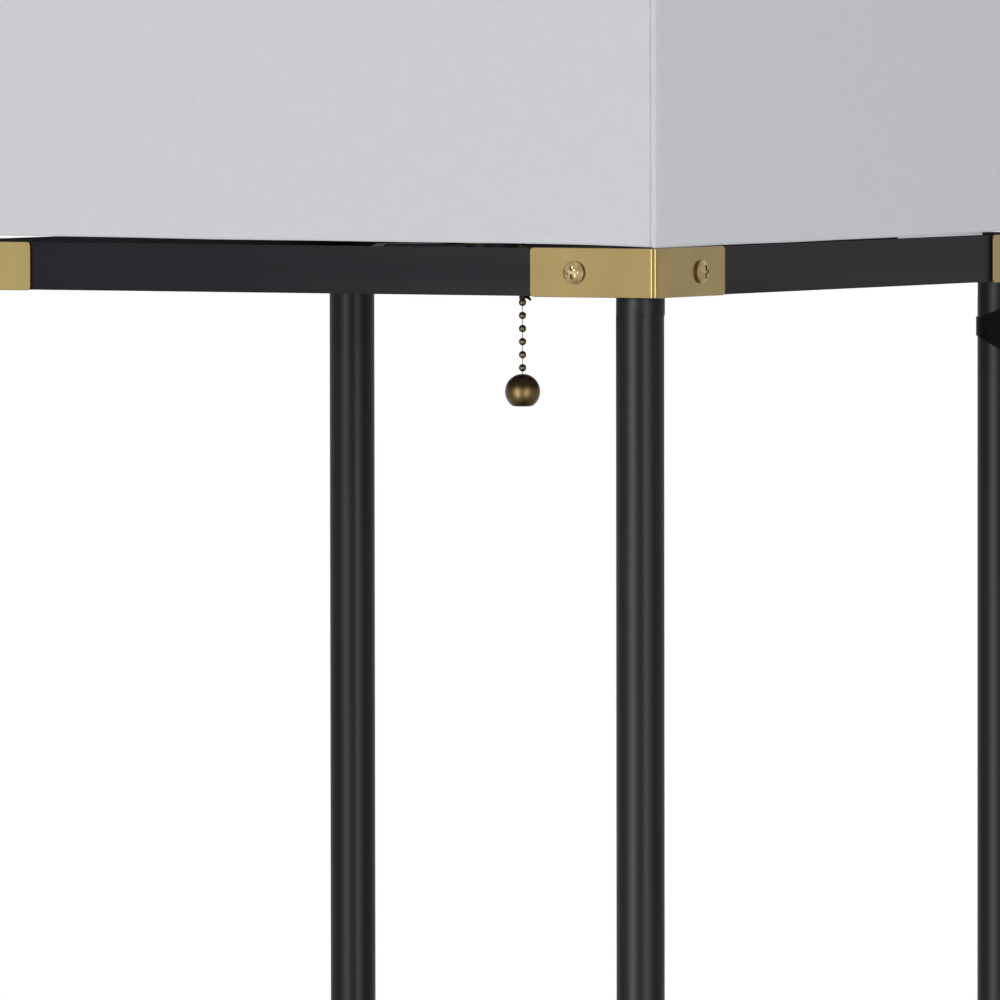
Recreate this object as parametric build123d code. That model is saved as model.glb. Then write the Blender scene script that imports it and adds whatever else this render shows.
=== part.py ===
from build123d import *
import os
from math import cos, pi, radians, sin, sqrt, tan

os.makedirs("parts", exist_ok=True)

# Shelf floor lamp. Millimetres, +Z up, origin on the floor under the middle of the lamp.
# Front is -Y, right is +X.

# --- overall ---
side = 300.0  # square plan, over the brass corner brackets
floor_clearance = 60.0  # floor to the underside of the lowest shelf
bay_height = 374.0  # clear height of each of the three bays
shade_height = 340.0
shade_gap = 1.2  # daylight between the ring and the shade
fit_gap = 0.05  # between two pieces that are pushed or screwed together

# --- band frames (the top ring and the three shelf frames are alike) ---
band_height = 16.5
band_wall = 1.5
gusset_sheet = 2.0
gusset_size = 40.0  # along each wall from the corner

# --- brass corner brackets and their screws ---
bracket_sheet = 1.0
bracket_arm = 49.5
bracket_height = 17.0
bracket_bend = 2.3  # outer radius of the bend
bracket_end_round = 1.5
screw_from_corner = 32.0
screw_diameter = 4.0
screw_length = 6.0  # under the head
screw_tip_room = 0.5  # past the screw's tip, in a board's edge
screw_head_diameter = 8.0
screw_head_height = 2.4
screw_head_edge = 0.85  # upright edge of the head, below its crown
cross_width = 1.1
cross_length = 4.6
cross_depth = 1.2

# --- legs ---
leg_diameter = 16.2  # 16 mm tube and its coat
leg_inset = 15.0  # leg centre from the outer faces
leg_wall = 1.2
leg_plug_length = 12.0
collar_height = 6.0
collar_proud = 0.35
stud_diameter = 6.0
stud_grip = 10.0  # thread inside each leg
bolt_head_diameter = 10.0
bolt_head_height = 4.5
pad_wall = 1.6
pad_floor = 4.0
pad_cup = 6.0

# --- shelf boards ---
board_clearance = 0.4
leg_hole_clearance = 0.3  # round each leg that stands through a board

# --- socket and its crossbar ---
bar_sheet = 2.5
bar_width = 14.0
bar_pad_diameter = 26.0
bar_rise = 10.0  # the middle of the bar stands this much above its ends
bar_middle = 40.0  # half length of the raised middle
bar_ramp = 20.0
bar_end_margin = 8.0  # beyond the bolt holes
nipple_diameter = 10.0
nipple_bore = 7.0
nipple_below = 4.5
nipple_above = 9.5
nut_flats = 14.0
nut_height = 4.0
shell_diameter = 37.0
cap_diameter = shell_diameter  # the cap meets the shell edge to edge
cap_height = 16.0
cap_sheet = 1.2
shell_wall = 1.5
shell_height = 42.0
flange_diameter = 44.0
flange_from_base = 13.0
flange_sheet = 2.0
core_bottom_gap = 13.5  # socket floor to the underside of the core
core_height = 22.5
contact_wall = 0.8
contact_height = 22.0
contact_clearance = 0.3  # between the screw shell and the bulb's base
tongue_length = 12.0
tongue_width = 5.0
tongue_height = 2.0
bulb_screw_diameter = 26.0
bulb_base_height = 25.0
bulb_tip_diameter = 9.0
bulb_tip_height = 2.5
bulb_cone_diameter = 12.0
bulb_cone_height = 3.0
bulb_diameter = 60.0
bulb_height = 85.0
bulb_neck = 6.0  # straight part of the glass
bulb_glass = 1.2

# --- shade ---
cover_sheet = 0.6
liner_sheet = 0.8
liner_set_back = 1.6  # the liner's and the wire's lower edge above the cover's
shade_corner = 1.5
smallest_corner = 0.3  # inside a sheet that is bent as tightly as it goes
wire_diameter = 3.0
wire_corner = 4.0
arm_diameter = 2.6
arm_bite = 2.0  # an arm's end inside the washer's edge
washer_diameter = 52.0
washer_clearance = 0.2  # round the shell
washer_sheet = 1.6
nut_ring_diameter = 47.0
nut_ring_height = 7.0
nut_ring_above = 1.4  # the ring nut stands this much above the washer

# --- pull chain ---
chain_angle = -37.9  # direction of the chain from the lamp's middle, degrees from +X
chain_reach = 30.0
bead_diameter = 2.7
bead_pitch = 4.64
chain_wire = 0.5
first_bead_drop = 6.05  # below the ring's underside
lower_beads = 6
coupler_diameter = 2.4
coupler_bore = 1.8
coupler_height = 8.0
coupler_mouth = 1.15  # above the middle of the bead that turns in it
coupler_room = 2.0  # depth of the bore
coupler_bead_gap = 0.4  # the last upper bead above the coupler
clasp_turn = 30.0  # way that the coupler's bent tongue points, degrees from +X
clasp_lean = 28.0
clasp_length = 3.4
clasp_width = 1.2
clasp_sheet = 0.4
clasp_drop = 0.6  # the tongue's tip above the bead's middle
ball_diameter = 12.5
ball_flat_cut = 1.0
ball_link = 0.8  # bare wire between the last bead and the ball
ball_hole_room = 0.5  # the ball's hole runs this much past the wire's end
guide_diameter = 8.0
guide_from_base = 5.5
guide_mouth = 4.4
guide_over = 3.2  # guide beyond the chain
stem_over = 1.5  # the stem's wire above its top bead's middle
swing_below_guide = 5.0
chain_travel = 8.0
lever_swing = 60.0
lever_width = 3.0
lever_pin = 2.0
lever_hub = 0.6  # the hub's wall round the pin
lever_pivot_out = 2.0  # pivot beyond the middle of the lever's path
lever_pivot_drop = 1.0  # the lever's tip stays above the guide's axis
slot_side = 1.0  # the core's slot beside the lever
slot_above = 1.0
pin_end = 2.0  # the pin's ends in the core
swing_gap = 0.3

# --- cord ---
cord_diameter = 5.0
cord_side_angle = 148.0  # which side of the rear right leg the cord runs down
cord_off_leg = 0.3
cable_hole = 8.0
tie_sheet = 0.4
tie_slack = 0.05
tie_height = 6.5
top_tie_drop = 17.0  # top tie's centre below the ring
bay_tie_rise = 60.0  # each bay's tie above its shelf
bar_tie_from_middle = 110.0
bar_tie_side = 15.8  # the bar tie's far side from the bar's middle line
bar_tie_top = 6.4  # above the bar's underside
bar_tie_slack = 0.3
cord_inside_cap = 8.0
cord_below_nipple = 9.0
cord_below_tie = 1.0  # the held cord ends this much below the last tie
coil_pitch = 5.5
coil_inner = 21.0  # radius of the innermost half turn
coil_half_turns = 6  # in each of the two layers, besides the half turn that climbs
coil_middle = (30.0, 207.0)
coil_layer_gap = 0.5
coil_lead_out = 15.0  # straight end that clears the turns before the plug
coil_lift = 0.1  # the turns above their tie
coil_tie_sheet = 0.5
coil_tie_width = 8.0
coil_tie_inside = 0.8  # the coil tie's room inside the bundle of turns
coil_tie_outside = 0.3
coil_tie_above = 0.2
plug_relief = 22.0
relief_end_wall = 0.9  # of the strain relief round the cord, where the cord enters it
relief_plug_wall = 3.2  # and where it meets the plug
relief_grooves = (5.0, 9.0, 13.0)
relief_groove_width = 1.4
relief_groove_wall = 1.0  # left round the cord in a groove
relief_groove_reach = 6.0
plug_length = 26.0
plug_width = 24.0
plug_round = 3.0
blade_root = 8.0  # inside the plug
blade_length = 17.0
blade_width = 6.35
blade_sheet = 1.5
blade_spacing = 12.7

# --- worked out ---
half = side / 2
band_face = half - bracket_sheet - fit_gap
band_inside = band_face - band_wall
leg_at = half - leg_inset
leg_radius = leg_diameter / 2
collar_radius = leg_radius + collar_proud
stud_hole = stud_diameter + 2 * fit_gap
level = band_height + bay_height
leg_length = level - gusset_sheet  # from one gusset's top to the next one's underside
frame_z = {
    "lower": floor_clearance,
    "middle": floor_clearance + level,
    "upper": floor_clearance + 2 * level,
    "ring": floor_clearance + 3 * level,
}
ring_z = frame_z["ring"]
ring_top = ring_z + band_height
shade_z = ring_top + shade_gap
shade_top = shade_z + shade_height
corners = {"front_left": (-1, -1), "front_right": (1, -1), "back_left": (-1, 1), "back_right": (1, 1)}
cord_radius = cord_diameter / 2
cord_reach = collar_radius + cord_off_leg + cord_radius
cord_x = leg_at + cord_reach * cos(radians(cord_side_angle))
cord_y = leg_at + cord_reach * sin(radians(cord_side_angle))
bar_end_z = ring_z + gusset_sheet
bar_z = bar_end_z + bar_rise
bar_top = bar_z + bar_sheet
socket_z = bar_top
shell_z = socket_z + cap_height
flange_top = shell_z + flange_from_base + flange_sheet
guide_z = shell_z + guide_from_base
core_z = socket_z + core_bottom_gap
core_top = core_z + core_height
chain_x = chain_reach * cos(radians(chain_angle))
chain_y = chain_reach * sin(radians(chain_angle))
first_bead_z = ring_z - first_bead_drop
last_bead_z = first_bead_z - (lower_beads - 1) * bead_pitch
coupler_z = first_bead_z + coupler_mouth
swing_z = guide_z - guide_diameter / 2 - swing_below_guide
ball_z = last_bead_z - bead_diameter / 2 - ball_link - ball_diameter / 2
chain_way = (cos(radians(chain_angle)), sin(radians(chain_angle)), 0)
chain_plane = Plane(origin=(0, 0, 0), x_dir=chain_way, z_dir=(0, 0, 1))


def write(name, shape):
    shape.label = name
    export_step(shape, "parts/" + name + ".step")


def peg(radius, height, x, y, z):
    return Pos(x, y, z + height / 2) * Cylinder(radius, height)


def tube(radius, bore_radius, height, x, y, z):
    return peg(radius, height, x, y, z) - peg(bore_radius, height, x, y, z)


def rounded_square(half_size, radius):
    return RectangleRounded(2 * half_size, 2 * half_size, radius)


# --- band frames ---
def at_screws(piece, face, z):
    """The piece at each of a frame's eight screws, its +Z outwards and its z = 0 at face from the middle."""
    along = half - screw_from_corner
    placed = []
    for wall in range(4):
        for x in (-along, along):
            plane = Plane(origin=(x, -face, z), x_dir=(1, 0, 0), z_dir=(0, -1, 0))
            placed.append(Rot(0, 0, 90 * wall) * plane.location * piece)
    return placed


def screw_holes(face, depth, z):
    """Clearance holes for the eight screws of one frame, cut inwards from face."""
    hole = Pos(0, 0, -depth / 2) * Cylinder(screw_diameter / 2 + fit_gap, depth)
    return at_screws(hole, face, z)


def band_frame(z):
    """A square band with a gusset welded into each corner for the legs."""
    band = extrude(rounded_square(band_face, bracket_bend - bracket_sheet), band_height)
    inner = extrude(Rectangle(2 * band_inside, 2 * band_inside), band_height)
    frame = band - inner
    for sx, sy in corners.values():
        wall = (sx * band_inside, sy * band_inside)
        outline = Polyline(
            wall,
            (wall[0] - sx * gusset_size, wall[1]),
            (wall[0], wall[1] - sy * gusset_size),
            close=True,
        )
        frame += extrude(make_face(outline), gusset_sheet)
    for sx, sy in corners.values():
        frame -= peg(stud_hole / 2, gusset_sheet, sx * leg_at, sy * leg_at, 0)
    frame -= peg(cable_hole / 2, gusset_sheet, cord_x, cord_y, 0)
    for hole in screw_holes(band_face, 2 * band_wall, band_height / 2):
        frame -= hole
    return Pos(0, 0, z) * frame


def board(z):
    """A shelf board, let into its frame round the legs, on the gussets and flush with the band's top."""
    half_board = band_inside - board_clearance
    thickness = band_height - gusset_sheet
    panel = extrude(Rectangle(2 * half_board, 2 * half_board), thickness)
    for sx, sy in corners.values():
        panel -= peg(leg_radius + leg_hole_clearance, thickness, sx * leg_at, sy * leg_at, 0)
    panel -= peg(cable_hole / 2, thickness, cord_x, cord_y, 0)
    screw_depth = screw_length - bracket_sheet - band_wall + screw_tip_room
    for hole in screw_holes(half_board, screw_depth, band_height / 2 - gusset_sheet):
        panel -= hole
    return Pos(0, 0, z + gusset_sheet) * panel


# --- corner brackets and screws ---
def bracket():
    """One right-angled bracket, for the +X, +Y corner, standing on z = 0."""
    outer = rounded_square(half, bracket_bend)
    inner = rounded_square(half - bracket_sheet, bracket_bend - bracket_sheet)
    arm = bracket_arm
    keep = Pos(half - arm / 2, half - arm / 2) * Rectangle(arm, arm)
    sheet = extrude((outer - inner) & keep, bracket_height)
    end_faces = [sheet.faces().sort_by(Axis.X)[0], sheet.faces().sort_by(Axis.Y)[0]]
    ends = [edge for face in end_faces for edge in face.edges() if edge.length < bracket_height / 2]
    sheet = fillet(ends, bracket_end_round)
    along = half - screw_from_corner
    hole = Cylinder(screw_diameter / 2 + fit_gap, 4 * bracket_sheet)
    sheet -= Pos(along, half, bracket_height / 2) * Rot(90, 0, 0) * hole
    sheet -= Pos(half, along, bracket_height / 2) * Rot(0, 90, 0) * hole
    return sheet


def brackets(z):
    one = bracket()
    base = z + (band_height - bracket_height) / 2
    turns = [Pos(0, 0, base) * Rot(0, 0, 90 * k) * one for k in range(4)]
    return Compound(children=turns)


def bracket_screw():
    """Pan head screw with a cross recess, its head's underside at z = 0, shank towards -Z."""
    dome = screw_head_diameter / 2
    crown_rise = screw_head_height - screw_head_edge
    crown_radius = (dome * dome + crown_rise * crown_rise) / (2 * crown_rise)
    crown_middle = screw_head_height - crown_radius + sqrt(crown_radius * crown_radius - dome * dome / 4)
    profile = Polyline(
        (0, -screw_length),
        (screw_diameter / 2, -screw_length),
        (screw_diameter / 2, 0),
        (dome, 0),
        (dome, screw_head_edge),
    )
    crown = ThreePointArc((dome, screw_head_edge), (dome / 2, crown_middle), (0, screw_head_height))
    axis_line = Line((0, screw_head_height), (0, -screw_length))
    face = make_face(profile.edges() + crown.edges() + axis_line.edges())
    screw = revolve(Plane.XZ * face, Axis.Z)
    tall = 2 * cross_depth
    recess_z = screw_head_height - cross_depth + tall / 2
    cross = Box(cross_length, cross_width, tall) + Box(cross_width, cross_length, tall)
    return screw - Pos(0, 0, recess_z) * cross


def all_bracket_screws():
    one = bracket_screw()
    placed = []
    for z in frame_z.values():
        placed += at_screws(one, half, z + band_height / 2)
    return Compound(children=placed)


# --- legs ---
def leg(z, length, plugged_below):
    """A leg tube with threaded plugs in its ends and a slim collar at its top."""
    body = peg(leg_radius, length, 0, 0, 0)
    body += peg(collar_radius, collar_height, 0, 0, length - collar_height)
    low = leg_plug_length if plugged_below else 0
    hollow = length - leg_plug_length - low
    body -= peg(leg_radius - leg_wall, hollow, 0, 0, low)
    body -= peg(stud_hole / 2, length, 0, 0, 0)
    return Pos(0, 0, z) * body


def leg_studs():
    """Threaded studs that join one leg to the next through a shelf's gusset."""
    length = gusset_sheet + 2 * stud_grip
    placed = []
    for name in ("lower", "middle", "upper"):
        for sx, sy in corners.values():
            base = frame_z[name] - stud_grip
            placed.append(peg(stud_diameter / 2, length, sx * leg_at, sy * leg_at, base))
    return Compound(children=placed)


def ring_bolts():
    """Bolts down through the ring's gussets into the upper legs, two of them through the crossbar."""
    placed = []
    for sx, sy in corners.values():
        head_z = bar_end_z + (bar_sheet if sx == sy else 0)
        shank = head_z - ring_z + stud_grip
        bolt = peg(stud_diameter / 2, shank, sx * leg_at, sy * leg_at, head_z - shank)
        bolt += Pos(sx * leg_at, sy * leg_at, head_z) * extrude(
            RegularPolygon(bolt_head_diameter / 2, 6), bolt_head_height
        )
        placed.append(bolt)
    return Compound(children=placed)


def foot_pads():
    """Moulded cups on the ends of the foot legs."""
    radius = leg_radius + fit_gap + pad_wall
    cup = peg(radius, pad_floor + pad_cup, 0, 0, 0)
    cup -= peg(leg_radius + fit_gap, pad_cup, 0, 0, pad_floor)
    cup = chamfer(cup.edges().group_by(Axis.Z)[0], pad_wall / 2)
    placed = [Pos(sx * leg_at, sy * leg_at, 0) * cup for sx, sy in corners.values()]
    return Compound(children=placed)


# --- socket ---
def crossbar():
    """A strip with a raised middle, from the front left gusset to the back right one."""
    bolt_at = leg_at * sqrt(2)
    end = bolt_at + bar_end_margin
    foot = bar_middle + bar_ramp
    top_side = [
        (-end, bar_end_z + bar_sheet),
        (-foot, bar_end_z + bar_sheet),
        (-bar_middle, bar_top),
        (bar_middle, bar_top),
        (foot, bar_end_z + bar_sheet),
        (end, bar_end_z + bar_sheet),
    ]
    under_side = [(r, z - bar_sheet) for r, z in reversed(top_side)]
    outline = Plane.XZ * make_face(Polyline(*top_side, *under_side, close=True))
    strip = extrude(outline, bar_width / 2, both=True)
    strip += peg(bar_pad_diameter / 2, bar_sheet, 0, 0, bar_z)
    strip -= peg(nipple_diameter / 2 + fit_gap, bar_sheet, 0, 0, bar_z)
    for r in (-bolt_at, bolt_at):
        strip -= peg(stud_hole / 2, bar_sheet, r, 0, bar_end_z)
    return Rot(0, 0, 45) * strip


def nipple():
    height = nipple_below + bar_sheet + nipple_above
    return tube(nipple_diameter / 2, nipple_bore / 2, height, 0, 0, bar_z - nipple_below)


def nipple_nuts():
    """One nut under the bar and one inside the cap."""
    nut = extrude(RegularPolygon(nut_flats / 2, 6, major_radius=False), nut_height)
    nut -= peg(nipple_diameter / 2 + fit_gap, nut_height, 0, 0, 0)
    places = (bar_z - nut_height, socket_z + cap_sheet)
    return Compound(children=[Pos(0, 0, z) * nut for z in places])


def socket_cap():
    radius = cap_diameter / 2
    cap = peg(radius, cap_height, 0, 0, socket_z)
    cap = fillet(cap.edges().group_by(Axis.Z)[0], 3 * cap_sheet)
    cap -= peg(radius - cap_sheet, cap_height - cap_sheet, 0, 0, socket_z + cap_sheet)
    cap -= peg(nipple_diameter / 2 + fit_gap, cap_sheet, 0, 0, socket_z)
    return cap


def socket_shell():
    shell = peg(shell_diameter / 2, shell_height, 0, 0, shell_z)
    shell += peg(flange_diameter / 2, flange_sheet, 0, 0, shell_z + flange_from_base)
    shell -= peg(shell_diameter / 2 - shell_wall, shell_height, 0, 0, shell_z)
    port = Cylinder(guide_diameter / 2 + fit_gap, shell_diameter / 2)
    shell -= chain_plane.location * Pos(shell_diameter / 2, 0, guide_z) * Rot(0, 90, 0) * port
    return shell


def chain_guide():
    """A barrel that stands out of the shell and turns the chain down through its mouth."""
    start = shell_diameter / 2 - shell_wall
    end = chain_reach + guide_over
    lying = Rot(0, 90, 0)
    barrel = Pos((start + end) / 2, 0, guide_z) * lying * Cylinder(guide_diameter / 2, end - start)
    barrel = fillet(barrel.faces().sort_by(Axis.X)[-1].edges(), guide_diameter / 4)
    bore_end = chain_reach + guide_mouth / 2
    bore = Pos((start + bore_end) / 2, 0, guide_z) * lying * Cylinder(guide_mouth / 2, bore_end - start)
    mouth = peg(guide_mouth / 2, guide_diameter / 2, chain_reach, 0, guide_z - guide_diameter / 2)
    return chain_plane.location * (barrel - bore - mouth)


lever_arm = chain_travel / (2 * sin(radians(lever_swing / 2)))
lever_pivot_r = chain_travel / 2 + lever_pivot_out
lever_pivot_z = guide_z + lever_arm * cos(radians(lever_swing / 2)) - lever_pivot_drop
slot_width = lever_width + 2 * slot_side
slot_low = lever_pivot_z - lever_arm - lever_pin
slot_high = lever_pivot_z + lever_pin + slot_above
pin_length = slot_width + 2 * pin_end


def socket_core():
    """The moulded inside of the socket, slotted for the switch lever."""
    radius = shell_diameter / 2 - shell_wall - fit_gap
    core = peg(radius, core_height, 0, 0, core_z)
    core -= peg(nipple_bore / 2, core_height / 4, 0, 0, core_z)
    slot_height = slot_high - slot_low
    slot = Pos(radius / 2, 0, slot_low + slot_height / 2) * Box(radius + 1, slot_width, slot_height)
    pin_hole = Cylinder(lever_pin / 2 + fit_gap, pin_length + 2 * fit_gap)
    core -= chain_plane.location * slot
    core -= chain_plane.location * Pos(lever_pivot_r, 0, lever_pivot_z) * Rot(90, 0, 0) * pin_hole
    return core


def switch_lever():
    """The lever that the chain pulls, at rest leaning towards the lamp's middle."""
    arm = Pos(0, 0, -lever_arm / 2) * Box(lever_pin, lever_width, lever_arm)
    arm += Rot(90, 0, 0) * Cylinder(lever_pin / 2 + lever_hub, lever_width)
    arm += Rot(90, 0, 0) * Cylinder(lever_pin / 2, pin_length)
    leaning = Rot(0, lever_swing / 2, 0) * arm
    return chain_plane.location * Pos(lever_pivot_r, 0, lever_pivot_z) * leaning


def socket_contacts():
    """The screw shell and the springy centre contact, both standing on the core."""
    bore = bulb_screw_diameter / 2 + contact_clearance
    cup = tube(bore + contact_wall, bore, contact_height, 0, 0, core_top)
    tongue = Box(tongue_length, tongue_width, tongue_height)
    return Compound(children=[cup, Pos(0, 0, core_top + tongue_height / 2) * tongue])


bulb_z = core_top + tongue_height + fit_gap


def bulb_base():
    radius = bulb_screw_diameter / 2
    cone_z = bulb_z + bulb_tip_height
    side_z = cone_z + bulb_cone_height
    base = peg(bulb_tip_diameter / 2, bulb_tip_height, 0, 0, bulb_z)
    base += Pos(0, 0, (cone_z + side_z) / 2) * Cone(bulb_cone_diameter / 2, radius, bulb_cone_height)
    base += peg(radius, bulb_z + bulb_base_height - side_z, 0, 0, side_z)
    return base


def bulb_globe():
    """A blown envelope on the base: a neck that swells into a ball."""
    z = bulb_z + bulb_base_height
    outer = globe_outline(bulb_screw_diameter / 2, bulb_diameter / 2)
    inner = globe_outline(bulb_screw_diameter / 2 - bulb_glass, bulb_diameter / 2 - bulb_glass)
    return Pos(0, 0, z) * revolve(Plane.XZ * (outer - inner), Axis.Z)


def globe_outline(neck, wide):
    """Half of the globe's section, from the axis out to a skin with this neck and widest radius."""
    middle = bulb_height - bulb_diameter / 2
    top = middle + wide
    shoulder = wide / sqrt(2)
    edges = Line((0, 0), (neck, 0)).edges()
    edges += Line((neck, 0), (neck, bulb_neck)).edges()
    edges += Spline((neck, bulb_neck), (wide, middle), tangents=[(0.25, 1), (0, 1)]).edges()
    edges += ThreePointArc((wide, middle), (shoulder, middle + shoulder), (0, top)).edges()
    edges += Line((0, top), (0, 0)).edges()
    return make_face(edges)


# --- shade ---
def square_sleeve(half_size, wall, radius, z):
    """A square sleeve from z to the top of the shade."""
    outer = rounded_square(half_size, radius)
    inner = rounded_square(half_size - wall, max(radius - wall, smallest_corner))
    return Pos(0, 0, z) * extrude(outer - inner, shade_top - z)


wire_at = half - cover_sheet - liner_sheet - 2 * fit_gap - wire_diameter / 2
liner_z = shade_z + liner_set_back


def square_wire(z):
    path = rounded_square(wire_at, wire_corner).face().outer_wire()
    start = path @ 0
    along = path % 0
    section = Plane(origin=start, z_dir=along) * Circle(wire_diameter / 2)
    return Pos(0, 0, z) * sweep(section, path)


def shade_bottom_frame():
    """The bottom wire, four arms and the washer that sits on the socket's flange."""
    wire_z = liner_z + wire_diameter / 2
    frame = square_wire(wire_z)
    washer_z = flange_top
    hole = shell_diameter / 2 + washer_clearance
    washer = tube(washer_diameter / 2, hole, washer_sheet, 0, 0, washer_z)
    start = Vector(washer_diameter / 2 - arm_bite, 0, washer_z + washer_sheet / 2)
    corner = (wire_at - wire_corner + wire_corner / sqrt(2)) * sqrt(2)
    end = Vector(corner, 0, wire_z)
    rod = Plane(origin=start, z_dir=end - start) * Circle(arm_diameter / 2)
    arm = extrude(rod, (end - start).length)
    frame += washer
    for k in range(4):
        frame += Rot(0, 0, 45 + 90 * k) * arm
    hole_cut = peg(hole, 4 * wire_diameter, 0, 0, washer_z - 2 * wire_diameter)
    return frame - hole_cut


def shade_ring_nut():
    z = flange_top + washer_sheet + nut_ring_above
    return tube(nut_ring_diameter / 2, shell_diameter / 2 + fit_gap, nut_ring_height, 0, 0, z)


# --- pull chain ---
def bead_string(bead_heights, top, bottom):
    """Beads on a wire, turned as one piece about the chain's axis, from the highest bead down."""
    wire = chain_wire / 2
    ball = bead_diameter / 2
    reach = sqrt(ball * ball - wire * wire)
    at = (wire, top)
    edges = Line((0, top), at).edges()
    for z in bead_heights:
        if at[1] > z + reach:
            edges += Line(at, (wire, z + reach)).edges()
        edges += ThreePointArc((wire, z + reach), (ball, z), (wire, z - reach)).edges()
        at = (wire, z - reach)
    if at[1] > bottom:
        edges += Line(at, (wire, bottom)).edges()
        at = (wire, bottom)
    edges += Line(at, (0, at[1])).edges()
    edges += Line((0, at[1]), (0, top)).edges()
    face = make_face(edges)
    return Pos(chain_x, chain_y, 0) * revolve(Plane.XZ * face, Axis.Z)


def chain_stem():
    """The stretch inside the guide, which only slides."""
    heads = [guide_z, guide_z - bead_pitch]
    return bead_string(heads, guide_z + stem_over, swing_z + swing_gap / 2)


def coupler():
    """A sleeve whose lower end takes the top of a bead, with one side bent out as a tongue."""
    radius = coupler_diameter / 2
    sleeve = peg(radius, coupler_height, 0, 0, 0)
    sleeve = fillet(sleeve.edges().group_by(Axis.Z)[-1], radius / 3)
    lean = radians(clasp_lean)
    tip_z = clasp_drop - coupler_mouth
    rise = clasp_length * cos(lean)
    tongue = Pos(0, 0, -clasp_length / 2) * Box(clasp_sheet, clasp_width, clasp_length)
    leaning = Pos(radius - clasp_sheet, 0, tip_z + rise) * Rot(0, -clasp_lean, 0) * tongue
    sleeve += Rot(0, 0, clasp_turn) * leaning
    return sleeve - peg(coupler_bore / 2, coupler_room, 0, 0, 0)


def chain_upper():
    """From the guide's mouth to the coupler, with the coupler on its end."""
    top = swing_z - swing_gap / 2
    coupler_top = coupler_z + coupler_height
    lowest = coupler_top + coupler_bead_gap + bead_diameter / 2
    count = int((top - bead_diameter / 2 - lowest) / bead_pitch) + 1
    heads = [lowest + k * bead_pitch for k in reversed(range(count))]
    return bead_string(heads, top, coupler_top) + Pos(chain_x, chain_y, coupler_z) * coupler()


def chain_lower():
    heads = [first_bead_z - k * bead_pitch for k in range(lower_beads)]
    top = first_bead_z + bead_diameter / 2
    return bead_string(heads, top, ball_z + ball_diameter / 4)


def pull_ball():
    ball = Sphere(ball_diameter / 2)
    ball -= Pos(0, 0, -ball_diameter / 2) * Box(ball_diameter, ball_diameter, 2 * ball_flat_cut)
    hole = peg(chain_wire / 2 + fit_gap, ball_diameter, 0, 0, ball_diameter / 4 - ball_hole_room)
    return Pos(chain_x, chain_y, ball_z) * (ball - hole)


# --- cord ---
def on_diagonal(r, s, z):
    """A point r along the crossbar from the middle, and s beside it towards the back left."""
    return Vector((r - s) / sqrt(2), (r + s) / sqrt(2), z)


def cord_tube(points, radii):
    wire = FilletPolyline(*points, radius=radii).wire()
    section = Plane(origin=wire @ 0, z_dir=wire % 0) * Circle(cord_radius)
    body = sweep(section, wire)
    print("cord volume / (section x length):", round(body.volume / (pi * cord_radius**2 * wire.length), 4))
    print("cord length:", round(wire.length, 1))
    return body


def free_radii(points):
    """As large as the two runs at each corner allow."""
    radii = []
    for before, here, after in zip(points, points[1:], points[2:]):
        arriving = here - before
        leaving = after - here
        turn = radians(arriving.get_angle(leaving))
        radii.append(0.45 * min(arriving.length, leaving.length) / tan(turn / 2))
    print("cord radii:", [round(r, 1) for r in radii])
    return radii


last_tie_z = floor_clearance - collar_height - tie_height / 2
cord_free_z = last_tie_z - tie_height / 2 - cord_below_tie


def lamp_cord():
    """The held stretch: out of the nipple, beside the crossbar, and down the rear right leg."""
    under_nipple = bar_z - nipple_below - cord_below_nipple
    leg_r = (cord_x + cord_y) / sqrt(2)
    leg_s = (cord_y - cord_x) / sqrt(2)
    points = [
        Vector(0, 0, socket_z + cap_sheet + cord_inside_cap),
        Vector(0, 0, under_nipple),
        on_diagonal(60.0, 12.5, under_nipple + 1.0),
        on_diagonal(leg_r - 38.0, leg_s + 1.2, ring_z + band_height - 7.5),
        on_diagonal(leg_r, leg_s, ring_z + band_height - 5.0),
        Vector(cord_x, cord_y, cord_free_z),
    ]
    return cord_tube(points, [8.0, 60.0, 100.0, 8.0])


coil_z = coil_tie_sheet + coil_lift + cord_radius
coil_layer = cord_diameter + coil_layer_gap
coil_outer = coil_inner + coil_half_turns / 2 * coil_pitch
coil_entry = Vector(coil_middle[0] + cord_diameter, coil_middle[1] + coil_outer, coil_z)


def floor_cord():
    """The free stretch from the last tie to the coil: down, then round behind the lamp."""
    points = [
        Vector(cord_x, cord_y, cord_free_z),
        Vector(cord_x, cord_y, 26.0),
        Vector(126.0, 163.5, coil_z),
        Vector(123.5, 194.0, coil_z),
        Vector(111.0, 221.0, coil_z),
        Vector(90.0, 239.0, coil_z),
        Vector(62.0, coil_entry.Y, coil_z),
        coil_entry,
    ]
    return cord_tube(points, free_radii(points))


def biarc(start, start_way, end, end_way):
    """Two arcs that leave start along start_way and reach end along end_way."""
    across = end - start
    ways = start_way + end_way
    bend = 2 * (1 - start_way.dot(end_way))
    along = across.dot(ways)
    reach = (-along + sqrt(along * along + bend * across.dot(across))) / bend
    joint = (start + end + (start_way - end_way) * reach) * 0.5
    joint_way = ((end - end_way * reach) - (start + start_way * reach)).normalized()
    return [Edge.make_tangent_arc(start, start_way, joint), Edge.make_tangent_arc(joint, joint_way, end)]


def half_turn(x, y, z, reach):
    """A level half circle from (x, y) to (x, y + 2 * reach), bulging in X by reach."""
    middle = Vector(x + reach, y + reach, z)
    return Edge.make_three_point_arc(Vector(x, y, z), middle, Vector(x, y + 2 * reach, z))


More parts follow.
